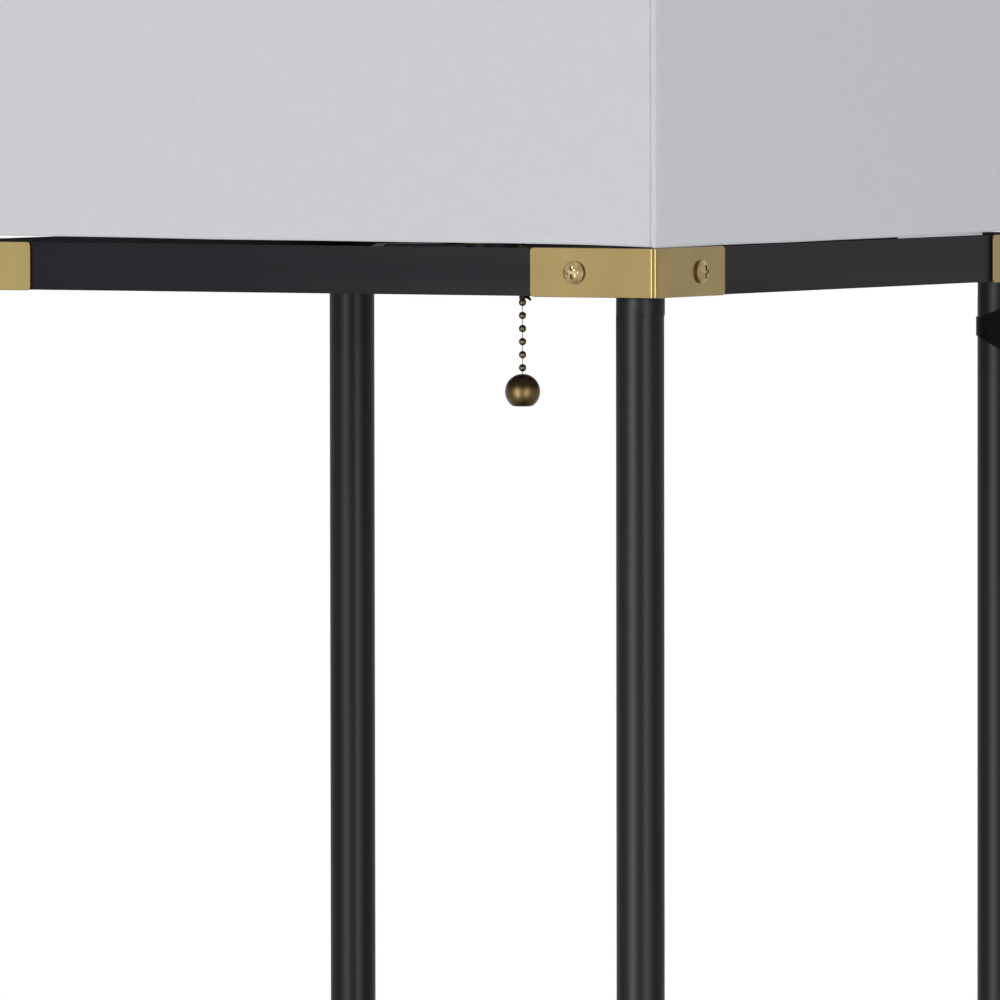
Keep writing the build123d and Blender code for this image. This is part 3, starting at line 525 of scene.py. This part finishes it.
def round_edges(piece, width_mm):
    rounded = piece.modifiers.new("rounded_edges", "BEVEL")
    rounded.width = width_mm * MM
    rounded.segments = 2
    rounded.limit_method = "ANGLE"
    rounded.angle_limit = math.radians(40)
    rounded.harden_normals = True


same_place = 0.001 * MM


def merged_copy(node):
    """An engineered piece with its doubled corners merged and its flat faces joined up."""
    shape = bmesh.new()
    shape.from_mesh(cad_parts[node].data)
    bmesh.ops.remove_doubles(shape, verts=shape.verts, dist=same_place)
    flat = math.radians(0.5)
    bmesh.ops.dissolve_limit(shape, angle_limit=flat, verts=shape.verts, edges=shape.edges)
    return shape


def softened(node, finish, width_mm):
    """A merged copy of an engineered piece with rounded edges."""
    shape = merged_copy(node)
    mesh = bpy.data.meshes.new(node + "_softened")
    shape.to_mesh(mesh)
    shape.free()
    piece = finished_piece(node + "_softened", mesh, finish, "lamp", [node])
    round_edges(piece, width_mm)


for level in ("lower_shelf_frame", "middle_shelf_frame", "upper_shelf_frame", "top_ring"):
    softened(level, band_coat, 0.25)
for level in ("lower", "middle", "upper"):
    softened(level + "_shelf_board", board_ash, 0.4)
softened("socket_crossbar", band_coat, 0.3)
softened("socket_cap", socket_brass, 0.2)
softened("socket_shell", phenolic, 0.3)
softened("shade_ring_nut", phenolic, 0.4)
softened("plug_body", plug_rubber, 0.4)
softened("bracket_screws", screw_brass, 0.12)

# %% [markdown]
# A round part is turned, so it is drawn here as half its outline and spun about its axis. A cylinder
# primitive would give the tube but not the collar, the rolled edge or the small step under the ring.
# The front right tubes are moved 0.4 mm to the camera's right, to match the photograph, and every
# collar is set a hair off centre the same way.

# %% Helpers for turned parts
def turned(profile, steps=64):
    """Spins an outline of (radius, height) pairs in millimetres about Z and closes its poles."""
    shape = bmesh.new()
    line = [shape.verts.new((radius * MM, 0, height * MM)) for radius, height in profile]
    edges = [shape.edges.new(pair) for pair in zip(line, line[1:])]
    bmesh.ops.spin(
        shape,
        geom=line + edges,
        cent=(0, 0, 0),
        axis=(0, 0, 1),
        angle=2 * math.pi,
        steps=steps,
        use_merge=True,
        use_duplicate=False,
    )
    bmesh.ops.remove_doubles(shape, verts=shape.verts, dist=same_place)
    bmesh.ops.recalc_face_normals(shape, faces=shape.faces)
    return shape


def as_mesh(shape, name, offset=(0, 0, 0)):
    bmesh.ops.translate(shape, verts=shape.verts, vec=offset)
    mesh = bpy.data.meshes.new(name)
    shape.to_mesh(mesh)
    shape.free()
    return mesh


def foot_of(node):
    """The middle of the underside of an engineered piece."""
    low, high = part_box(node)
    return Vector(((low[0] + high[0]) / 2, (low[1] + high[1]) / 2, low[2]))


front_foot = foot_of("foot_leg_front_right")
print("the front right leg is engineered to stand at", [round(v, 4) for v in front_foot])

# %% Sixteen tubes
tube_radius = 8.3
collar_radius = 8.4
collar_height = 6.5
collar_taper = 0.15
collar_shift = Vector((0.13, 0.075, 0)) * MM
front_leg_shift = Vector((0.35, 0.2, 0)) * MM
edge_round = 0.35
corner_names = ("front_left", "front_right", "back_left", "back_right")


def leg_tube(height):
    """A tube with its swaged collar, which is set a hair off centre."""
    step = height - collar_height
    tube = turned([
        (0, 0),
        (tube_radius - edge_round, 0),
        (tube_radius, edge_round),
        (tube_radius, step - collar_taper),
        (collar_radius, step),
        (collar_radius, height - edge_round),
        (collar_radius - edge_round, height),
        (0, height),
    ])
    collar = [v for v in tube.verts if v.co.z > (step - collar_taper / 2) * MM]
    bmesh.ops.translate(tube, verts=collar, vec=collar_shift)
    return tube


for tier in ("foot", "lower", "middle", "upper"):
    for corner in corner_names:
        node = tier + "_leg_" + corner
        low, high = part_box(node)
        stands = foot_of(node) + (front_leg_shift if corner == "front_right" else Vector())
        mesh = as_mesh(leg_tube((high[2] - low[2]) / MM), node + "_turned", stands)
        finished_piece(node + "_turned", mesh, tube_coat, "lamp", [node])

print("turned sixteen tubes of radius", tube_radius, "mm")

# %% Four feet
pad_radius = 9.75
pad_height = 10
pad_bore = 8.15
pad_floor = 4
sole_radius = 8.4
sole_slope = 1.3
lip_radius = 9.2
lip_start = 9.4
pad_facets = 48
pad_profile = [
    (0, 0),
    (sole_radius, 0),
    (pad_radius, sole_slope),
    (pad_radius, lip_start),
    (lip_radius, pad_height),
    (pad_bore, pad_height),
    (pad_bore, pad_floor),
    (0, pad_floor),
]
pads = bmesh.new()
for corner in corner_names:
    under_leg = foot_of("foot_leg_" + corner)
    under_leg.z = 0
    pad_mesh = as_mesh(turned(pad_profile, pad_facets), "one_pad", under_leg)
    pads.from_mesh(pad_mesh)
    bpy.data.meshes.remove(pad_mesh)
pads_mesh = as_mesh(pads, "foot_pads_turned")
finished_piece("foot_pads_turned", pads_mesh, foot_rubber, "lamp", ["foot_pads"])
print("turned four feet", pad_height, "mm high")

# %% [markdown]
# Each corner angle is one strip of sheet brass, folded once. It is made as the press makes it: a
# strip's edge is drawn out along one arm, swung round the fold, and drawn out again. The free ends
# have their corners rounded before the sheet is given its thickness and its dulled edges. Weighted
# normals keep the shading of the flats even.

# %% Brass corner angles
half_side = 150 * MM
arm = 49.5 * MM
fold_radius = 2.3 * MM
angle_height = 17 * MM
sheet = 1.0 * MM
end_round = 1.5 * MM
dulled_edge = 0.18


def extruded(shape, edges, way):
    """Draws a row of edges out along way and returns the new row."""
    made = bmesh.ops.extrude_edge_only(shape, edges=edges)["geom"]
    bmesh.ops.translate(shape, verts=[g for g in made if isinstance(g, bmesh.types.BMVert)], vec=way)
    return [g for g in made if isinstance(g, bmesh.types.BMEdge)]


def is_upright(edge):
    return (edge.verts[1].co - edge.verts[0].co).xy.length < 10 * same_place


def corner_angle():
    """One folded angle on the +X, +Y corner, standing on z = 0."""
    shape = bmesh.new()
    low = shape.verts.new((half_side - arm, half_side, 0))
    high = shape.verts.new((half_side - arm, half_side, angle_height))
    row = [shape.edges.new((low, high))]
    row = [e for e in extruded(shape, row, (arm - fold_radius, 0, 0)) if is_upright(e)]
    fold = (half_side - fold_radius, half_side - fold_radius, 0)
    swung = bmesh.ops.spin(
        shape, geom=row, cent=fold, axis=(0, 0, 1), angle=-math.pi / 2, steps=10, use_duplicate=False
    )["geom_last"]
    row = [g for g in swung if isinstance(g, bmesh.types.BMEdge) and is_upright(g)]
    extruded(shape, row, (0, fold_radius - arm, 0))
    bmesh.ops.remove_doubles(shape, verts=shape.verts, dist=same_place)
    ends = [v for v in shape.verts if len(v.link_faces) == 1]
    bmesh.ops.bevel(
        shape, geom=ends, offset=end_round, segments=5, profile=0.5, affect="VERTICES", material=-1
    )
    return shape


for level in ("lower_shelf", "middle_shelf", "upper_shelf", "top_ring"):
    node = level + "_brackets"
    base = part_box(node)[0][2]
    four = bmesh.new()
    for k in range(4):
        one = corner_angle()
        quarter = Matrix.Rotation(k * math.pi / 2, 3, "Z")
        bmesh.ops.rotate(one, verts=one.verts, cent=(0, 0, 0), matrix=quarter)
        part = as_mesh(one, "one_angle", (0, 0, base))
        four.from_mesh(part)
        bpy.data.meshes.remove(part)
    bmesh.ops.recalc_face_normals(four, faces=four.faces)
    inward = [f for f in four.faces if f.normal.xy.dot(f.calc_center_median().xy) < 0]
    bmesh.ops.reverse_faces(four, faces=inward)
    mesh = as_mesh(four, node + "_folded")
    piece = finished_piece(node + "_folded", mesh, corner_brass, "lamp", [node])
    wall = piece.modifiers.new("sheet", "SOLIDIFY")
    wall.thickness = sheet
    wall.offset = -1
    round_edges(piece, dulled_edge)
    piece.modifiers.new("flat_faces_stay_flat", "WEIGHTED_NORMAL").keep_sharp = True
print("folded sixteen corner angles")

# %% [markdown]
# Flat nylon ties hold the lead to the leg. The top one is untidy and crosses itself, so one turn
# climbs and one falls. The engineered loops are right for the others, so they are kept, and the top
# one is copied twice. Each copy is grown a little, so that its faces don't lie in the loop's own, and
# then sheared.

# %% Ties on the rear right leg
leg_axis = foot_of("upper_leg_back_right")
sideways = Vector((0.87, 0.49, 0))
strap_reach = 8.5 * MM
top_tie_low = 1211 * MM
top_tie_high = 1218 * MM
slants_and_growths = ((0.42, 1.015), (-0.6, 1.005))


def pulled_ties():
    """The engineered loops, with a climbing and a falling turn added to the top one."""
    shape = merged_copy("cord_ties")
    level_turn = [f for f in shape.faces if top_tie_low < f.calc_center_median().z < top_tie_high]
    about_leg = Matrix.Translation(-leg_axis)
    for slant, growth in slants_and_growths:
        copied = bmesh.ops.duplicate(shape, geom=level_turn)["geom"]
        turn_verts = [g for g in copied if isinstance(g, bmesh.types.BMVert)]
        bmesh.ops.scale(shape, verts=turn_verts, vec=(growth, growth, 1), space=about_leg)
        for v in turn_verts:
            v.co.z += slant * ((v.co - leg_axis).dot(sideways) + strap_reach)
    return shape


ties_mesh = as_mesh(pulled_ties(), "cord_ties_pulled")
finished_piece("cord_ties_pulled", ties_mesh, tie_nylon, "lamp", ["cord_ties"])
print("tied the lead to the leg")

# %% [markdown]
# The linen is one long strip wrapped round the stiff liner and lapped beside the front right corner.
# The lap stands a hair proud, with a fine groove at its edge. The lower edge is turned under, so it is
# drawn in a little, and the glued hem isn't quite straight: it climbs to the left, sags at the front
# right corner and rises again along the right face. A box without its ends, with its corners rounded
# and many rows, gives the strip, and small moves of its rows give the lap and the hem.

# %% The line of the hem
cloth_corner = 1.2 * MM
hem_wave = 0.08 * MM
hem_ripples = ((1.0, 31 * MM, 0.0), (0.6, 12.7 * MM, 1.3))
front_rise = 1.35 * MM
front_sag = 0.5 * MM
front_sag_reach = 25 * MM
right_sag = 0.75 * MM
right_rise = 1.3 * MM
right_rise_curve = 1.7
low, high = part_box("shade_cover")
cover_low, cover_high = low[2], high[2]
cover_half = high[0]


def hem_rise(x, y):
    """How far the lower hem stands above a straight one."""
    way = x - y
    wave = hem_wave * sum(share * math.sin(way / length + start) for share, length, start in hem_ripples)
    if x > cover_half - cloth_corner:
        along = max(0.0, (y + cover_half) / (2 * cover_half))
        return wave - right_sag + right_rise * along**right_rise_curve
    near_corner = max(0.0, 1 - (cover_half - x) / front_sag_reach)
    return wave - front_sag * near_corner + front_rise * (cover_half - x) / (2 * cover_half)


print("at the left the hem stands", round(hem_rise(-cover_half, -cover_half) / MM, 2), "mm high")

# %% Linen cover
cloth_thick = 0.6 * MM
lap_gap = 0.2 * MM
lap_proud = 0.3 * MM
lap_groove = 0.2 * MM
hem_reach = 12 * MM
tuck = 0.25 * MM
tuck_reach = 2 * MM
columns = 60
row_heights = (1, 2.5, 5, 10, 20, 60, 120, 200, 280, 320, 330, 335, 337.5, 339)


def sleeve():
    """A square tube of cloth with rounded corners and open ends."""
    shape = bmesh.new()
    size = Vector((2 * cover_half, 2 * cover_half, cover_high - cover_low))
    bmesh.ops.create_cube(shape, size=1)
    bmesh.ops.scale(shape, verts=shape.verts, vec=size)
    bmesh.ops.translate(shape, verts=shape.verts, vec=(0, 0, (cover_low + cover_high) / 2))
    caps = [f for f in shape.faces if abs(f.normal.z) > 0.5]
    bmesh.ops.delete(shape, geom=caps, context="FACES_ONLY")
    posts = [e for e in shape.edges if is_upright(e)]
    bmesh.ops.bevel(
        shape, geom=posts, offset=cloth_corner, segments=6, profile=0.5, affect="EDGES", material=-1
    )
    return shape


def cut(shape, place, way):
    geometry = shape.verts[:] + shape.edges[:] + shape.faces[:]
    bmesh.ops.bisect_plane(shape, geom=geometry, plane_co=place, plane_no=way)


def linen_strip():
    shape = sleeve()
    for k in range(1, columns):
        spot = -cover_half + 2 * k * cover_half / columns
        cut(shape, (spot, 0, 0), (1, 0, 0))
        cut(shape, (0, spot, 0), (0, 1, 0))
    for height in row_heights:
        cut(shape, (0, 0, cover_low + height * MM), (0, 0, 1))
    for side in (-lap_gap, 0, lap_gap):
        cut(shape, (lap_edge + side, 0, 0), (1, 0, 0))
    for v in shape.verts:
        in_front = v.co.y < -cover_half + cloth_corner
        if in_front and v.co.x > lap_edge + lap_gap / 2:
            v.co.y -= lap_proud
        elif in_front and abs(v.co.x - lap_edge) < lap_gap / 2:
            v.co.y += lap_groove
        near_hem = max(0.0, 1 - (v.co.z - cover_low) / hem_reach)
        v.co.z += near_hem * hem_rise(v.co.x, v.co.y)
        near_edge = max(0.0, 1 - (v.co.z - cover_low) / tuck_reach)
        scale = 1 - tuck * near_edge / cover_half
        v.co.x *= scale
        v.co.y *= scale
    return shape


slip_start = 29 * MM
slip_length = 64 * MM
slip_drop = 0.8 * MM
slip_top = 4 * MM


def turned_under(shape):
    """On the right face the turned edge of the cloth has slipped and hangs below the hem."""
    inside = cover_half - cloth_thick
    low = shape.verts.new((inside, slip_start, cover_low - slip_drop))
    high = shape.verts.new((inside, slip_start, cover_low + slip_top))
    extruded(shape, [shape.edges.new((low, high))], (0, slip_length, 0))


side_start = 1


def map_cloth(shape):
    """Distance along each side and height, in metres, with the two sides set apart from front and back."""
    layer = shape.loops.layers.uv.new("cloth")
    for face in shape.faces:
        across = abs(face.normal.y) > abs(face.normal.x)
        for loop in face.loops:
            spot = loop.vert.co
            loop[layer].uv = (spot.x if across else spot.y + side_start, spot.z)


strip = linen_strip()
bmesh.ops.recalc_face_normals(strip, faces=strip.faces)
turned_under(strip)
map_cloth(strip)
cover_mesh = as_mesh(strip, "linen_cover")
linen_cover = finished_piece(
    "linen_cover", cover_mesh, shade_linen, "lamp", ["shade_cover"], smooth_angle=60
)
thickness = linen_cover.modifiers.new("cloth", "SOLIDIFY")
thickness.thickness = cloth_thick
thickness.offset = -1
print("linen cover has", len(linen_cover.data.polygons), "faces")

# %% [markdown]
# The pull chain is beads of folded strip threaded on short dumbbell wires. Each bead is a small ball
# with a seam, and it joins to the next by a thin pin. The ball at the end is turned from brass, flat
# underneath, and drilled. The sleeve above the beads is the coupler that joins two lengths of chain,
# and one side of it is bent out where the chain was pushed in.

# %% Beads of the lower chain
bead_radius = 1.35
bead_pitch = 4.64
bead_wrap = 0.88
bead_seam = 0.06
bead_steps = 12
pin_radius = 0.14
pin_starts = 0.98 * bead_radius
pin_in_ball = 2.0
lower_count = 6
chain_facets = 24
low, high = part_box("pull_ball")
chain_x = (low[0] + high[0]) / 2
chain_y = (low[1] + high[1]) / 2
ball_low = low[2] / MM
ball_high = high[2] / MM


def bead_profile(height):
    """One bead from its top pin hole down to its bottom one, with a faint seam at its middle."""
    points = []
    for k in range(bead_steps + 1):
        angle = math.pi * (0.5 - k / bead_steps) * bead_wrap
        bulge = bead_radius - (bead_seam if 2 * k == bead_steps else 0)
        points.append((bulge * math.cos(angle), height + bulge * math.sin(angle)))
    return points


def bead_run(top, bottom, first, count):
    """A run of beads on their pins between two heights, in millimetres."""
    outline = [(0, top), (pin_radius, top)]
    for k in range(count):
        height = first - k * bead_pitch
        outline += [(pin_radius, height + pin_starts)]
        outline += bead_profile(height)
        outline += [(pin_radius, height - pin_starts)]
    return outline + [(pin_radius, bottom), (0, bottom)]


def chain_piece(name, shape, node, body, finish=chain_bronze):
    mesh = as_mesh(shape, name, (chain_x, chain_y, 0))
    finished_piece(name, mesh, finish, body, [node], smooth_angle=50)


low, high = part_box("chain_lower")
first_bead = high[2] / MM - bead_radius
lower_run = bead_run(high[2] / MM, ball_high - pin_in_ball, first_bead, lower_count)
chain_piece("lower_beads", turned(lower_run, chain_facets), "chain_lower", "pull_lower", bead_bronze)
print("chain hangs at", round(chain_x / MM, 2), round(chain_y / MM, 2), "mm")

# %% Coupler, its bent tongue and the upper chain
coupler_mouth = 1.15
coupler_height = 8.0
coupler_radius = 1.2
coupler_bore = 0.9
coupler_depth = 2.0
coupler_shoulder = 0.4
mouth = first_bead + coupler_mouth
coupler_top = mouth + coupler_height
coupler_sleeve = [
    (0, mouth + coupler_depth),
    (coupler_bore, mouth + coupler_depth),
    (coupler_bore, mouth + 0.1),
    (coupler_bore + 0.1, mouth),
    (coupler_radius - 0.1, mouth),
    (coupler_radius, mouth + 0.2),
    (coupler_radius, coupler_top - coupler_shoulder),
    (coupler_radius - coupler_shoulder, coupler_top),
]
upper_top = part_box("chain_upper")[1][2] / MM
room = upper_top - coupler_top - coupler_shoulder - 2 * bead_radius
upper_count = int(room / bead_pitch) + 1
upper_first = coupler_top + coupler_shoulder + bead_radius + (upper_count - 1) * bead_pitch
upper_run = list(reversed(bead_run(upper_top, coupler_top, upper_first, upper_count)))
coupler = turned(coupler_sleeve + upper_run[1:], chain_facets)

tongue_length = 3.9 * MM
tip_radius = 0.25 * MM
root_radius = 1.3 * MM
root_out = 0.5 * MM
root_rise = 2.45
tongue_place = Matrix.Translation((root_out, 0, (mouth + root_rise) * MM))
tongue_bend = Matrix.Rotation(math.radians(-40), 4, "Y")
tongue_turn = Matrix.Rotation(math.radians(30), 4, "Z")
tongue = bmesh.ops.create_cone(
    coupler, cap_ends=True, segments=4, radius1=tip_radius, radius2=root_radius, depth=tongue_length
)["verts"]
bmesh.ops.translate(coupler, verts=tongue, vec=(0, 0, -tongue_length / 2))
bmesh.ops.transform(coupler, verts=tongue, matrix=tongue_turn @ tongue_place @ tongue_bend)
chain_piece("coupler_and_upper_beads", coupler, "chain_upper", "pull_upper", coupler_bronze)
print("the upper chain has", upper_count, "beads")

# %% Pull ball
ball_radius = 6.25
foot_cut = 1.0
foot_radius = 3.1
foot_edge = 0.06
hollow_depth = 0.5
hollow_radius = 1.6
hollow_mouth = 1.9
hole_radius = 0.5
hole_depth = 1.4
hole_mouth = 0.6
hole_mouth_depth = 0.25
arc_steps = 24
ball_middle = ball_low + ball_radius - foot_cut
start_angle = math.asin((ball_low - ball_middle) / ball_radius) + foot_edge
end_angle = math.radians(82)
ball_outline = [
    (0, ball_low + hollow_depth),
    (hollow_radius, ball_low + hollow_depth),
    (hollow_mouth, ball_low),
    (foot_radius, ball_low),
]
for k in range(arc_steps + 1):
    angle = start_angle + (end_angle - start_angle) * k / arc_steps
    ball_outline.append((ball_radius * math.cos(angle), ball_middle + ball_radius * math.sin(angle)))
ball_outline += [
    (hole_mouth, ball_high - hole_mouth_depth),
    (hole_radius, ball_high - hole_depth),
    (0, ball_high - hole_depth),
]
chain_piece("turned_pull_ball", turned(ball_outline), "pull_ball", "pull_lower")
print("the ball's foot hangs at", round(ball_low, 2), "mm")

# %% [markdown]
# The bulb is a blown opal globe on a rolled base. The base's thread is a rounded wave pressed into thin
# aluminium, which the outline shows as a row of ridges, and both are turned shapes.

# %% Bulb base
low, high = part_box("bulb_base")
base_low = low[2] / MM
base_high = high[2] / MM
thread_middle = 12.6
thread_depth = 0.4
thread_start = 6.4
ridge_pitch = 3.6
ridge_rows = 4
ridge_steps = 8
neck_radius = 12.9
collar_of_base = 2.0
contact_to_shoulder = ((4.2, 0), (4.6, 0.5), (5.6, 2.4), (12.2, 5.4))
base_outline = [(0, base_low)]
base_outline += [(radius, base_low + rise) for radius, rise in contact_to_shoulder]
for k in range(ridge_rows * ridge_steps + 1):
    ridge = thread_depth * math.cos(2 * math.pi * k / ridge_steps)
    base_outline.append((thread_middle + ridge, base_low + thread_start + k * ridge_pitch / ridge_steps))
base_outline += [(neck_radius, base_high - collar_of_base), (neck_radius, base_high), (0, base_high)]
base_mesh = as_mesh(turned(base_outline), "bulb_base_rolled")
finished_piece("bulb_base_rolled", base_mesh, rolled_aluminium, "lamp", ["bulb_base"])
print("the base has", ridge_rows, "ridges")

# %% Bulb globe
low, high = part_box("bulb_globe")
globe_low = low[2] / MM
globe_high = high[2] / MM
globe_radius = high[0] / MM
globe_middle = globe_high - globe_radius
neck_height = 5
neck_top = globe_low + neck_height
neck_steps = 8
dome_steps = 16
globe_outline = [(neck_radius, globe_low), (neck_radius, neck_top)]
for k in range(1, neck_steps):
    share = k / neck_steps
    ease = share * share * (3 - 2 * share)
    swell = neck_radius + (globe_radius - neck_radius) * ease
    globe_outline.append((swell, neck_top + (globe_middle - neck_top) * share))
for k in range(dome_steps + 1):
    angle = math.pi / 2 * k / dome_steps
    globe_outline.append((globe_radius * math.cos(angle), globe_middle + globe_radius * math.sin(angle)))
globe_mesh = as_mesh(turned(globe_outline), "bulb_globe_blown")
finished_piece("bulb_globe_blown", globe_mesh, opal, "lamp", ["bulb_globe"], smooth_angle=60)
print("bulb stands", round(globe_high - base_low, 1), "mm tall")

# %% [markdown]
# The studio is a pale floor under a white surround. The floor is real, with the lamp's own shadow on
# it, and fades to plain white a little way out. What the eye and the brass see of the surround is
# white at a strength of 1, and what lights the lamp is a softer version of it.

# %% Floor and surround
surround_light = 0.68
floor_half = 60
fade_start = 0.6
fade_end = 2.2


def seen_directly(owner):
    """One where a ray comes from the eye, from gloss or through glass."""
    path = add_node(owner, "LightPath").outputs
    either = {"operation": "MAXIMUM"}
    first = add_node(owner, "Math", either, {0: path["Is Camera Ray"], 1: path["Is Glossy Ray"]})
    both = add_node(owner, "Math", either, {0: first.outputs["Value"], 1: path["Is Transmission Ray"]})
    return both.outputs["Value"]


def surround():
    world = bpy.data.worlds.new("studio_surround")
    bpy.context.scene.world = world
    world.use_nodes = True
    world.node_tree.nodes.clear()
    white = add_node(world, "Background", {"Color": linear("ffffff"), "Strength": 1.0})
    soft = add_node(world, "Background", {"Color": linear("fdfdff"), "Strength": surround_light})
    mixed = add_node(
        world, "MixShader", links={0: seen_directly(world), 1: soft.outputs[0], 2: white.outputs[0]}
    )
    add_node(world, "OutputWorld", links={"Surface": mixed.outputs[0]})


def floor_paint():
    paint, shader = new_finish("pale_studio_floor", "f4f4f4", 0.9, IOR=1.4)
    spot = add_node(paint, "TexCoord").outputs["Object"]
    reach = add_node(paint, "VectorMath", {"operation": "LENGTH"}, {0: spot}).outputs["Value"]
    edge = {"From Min": fade_start, "From Max": fade_end, "interpolation_type": "SMOOTHSTEP"}
    fade = add_node(paint, "MapRange", edge, {"Value": reach})
    shown = add_node(
        paint, "Math", {"operation": "MULTIPLY"}, {0: fade.outputs["Result"], 1: seen_directly(paint)}
    )
    white = add_node(paint, "Emission", {"Color": linear("ffffff"), "Strength": 1.0})
    mixed = add_node(
        paint, "MixShader", links={0: shown.outputs["Value"], 1: shader.outputs[0], 2: white.outputs[0]}
    )
    wire(paint, mixed.outputs[0], paint.node_tree.nodes["Material Output"], "Surface")
    return paint


surround()
ground = bmesh.new()
bmesh.ops.create_grid(ground, x_segments=1, y_segments=1, size=floor_half)
floor_mesh = as_mesh(ground, "floor")
floor_mesh.materials.append(floor_paint())
floor = bpy.data.objects.new("floor", floor_mesh)
bpy.context.scene.collection.objects.link(floor)
print("floor is", 2 * floor_half, "m across")

# %% [markdown]
# Two tall softboxes stand either side of the camera. Each tube mirrors them as one soft upright
# stripe, so the bearings of what gloss shows were read off the stripes on the nearest leg. They face
# the lamp and reach from near the floor to above the shade. The brightness of the stripes and of the
# linen is set apart, so each box is three lights in about the same place: one lights cloth and paint,
# a dim one glints in brass, and a bright one is seen only in the gloss of the black and bronze bodies,
# by light linking. A dim panel further left, a little cool, lifts the brass on the front.

# %% Softboxes
box_distance = 2.3
box_tall = 1.7
box_middle = Vector((0, 0, 0.95))
panel_distance = 2.6
panel_tint = (0.87, 1.0, 1.17)


def softbox(name, bearing_deg, width, radiance, in_gloss, distance=box_distance, tint=(1, 1, 1)):
    """A tall light at a bearing from the camera's own line, either for gloss or for diffuse light."""
    bearing = azimuth + math.radians(bearing_deg)
    away = Vector((math.sin(bearing), -math.cos(bearing), 0))
    light = bpy.data.lights.new(name, "AREA")
    light.shape = "RECTANGLE"
    light.size = width
    light.size_y = box_tall
    light.energy = radiance * math.pi * width * box_tall
    light.color = tint
    lamp = bpy.data.objects.new(name, light)
    bpy.context.scene.collection.objects.link(lamp)
    facing = away.to_track_quat("Z", "Y").to_matrix().to_4x4()
    lamp.matrix_world = Matrix.Translation(away * distance + box_middle) @ facing
    lamp.visible_glossy = in_gloss
    lamp.visible_diffuse = not in_gloss
    return lamp


def falls_only_on(lamp, bodies):
    """Light linking: this light is seen in the gloss of these bodies and of nothing else."""
    group = bpy.data.collections.new(lamp.name + "_falls_on")
    for body in bodies:
        group.objects.link(body)
    lamp.light_linking.receiver_collection = group


left_stripe_bearing = -34.5
left_stripe_width = 0.6
right_stripe_bearing = 27.5
right_stripe_width = 0.5
softbox("left_softbox", -40, 0.45, 4.25, False)
softbox("right_softbox", 25, 0.4, 3.9, False)
softbox("left_glint", left_stripe_bearing, left_stripe_width, 5.0, True)
softbox("right_glint", right_stripe_bearing, right_stripe_width, 5.0, True)
softbox("left_panel", -62, 1.0, 0.75, True, panel_distance, panel_tint)
print("two softboxes, their glints and a panel")

# %% Stripes for the dark bodies
dark_finishes = {tube_coat, band_coat, chain_bronze, bead_bronze, coupler_bronze}
dark_bodies = [o for o in bpy.data.objects if o.type == "MESH" and dark_finishes & set(o.data.materials)]
left_stripe = softbox("left_stripe", left_stripe_bearing, left_stripe_width, 31.0, True)
right_stripe = softbox("right_stripe", right_stripe_bearing, right_stripe_width, 23.0, True)
falls_only_on(left_stripe, dark_bodies)
falls_only_on(right_stripe, dark_bodies)
print("two stripes for", len(dark_bodies), "dark bodies")

# %% [markdown]
# Plain view settings keep each colour as it was mixed.

# %% Finish
bpy.context.scene.view_settings.view_transform = "Standard"
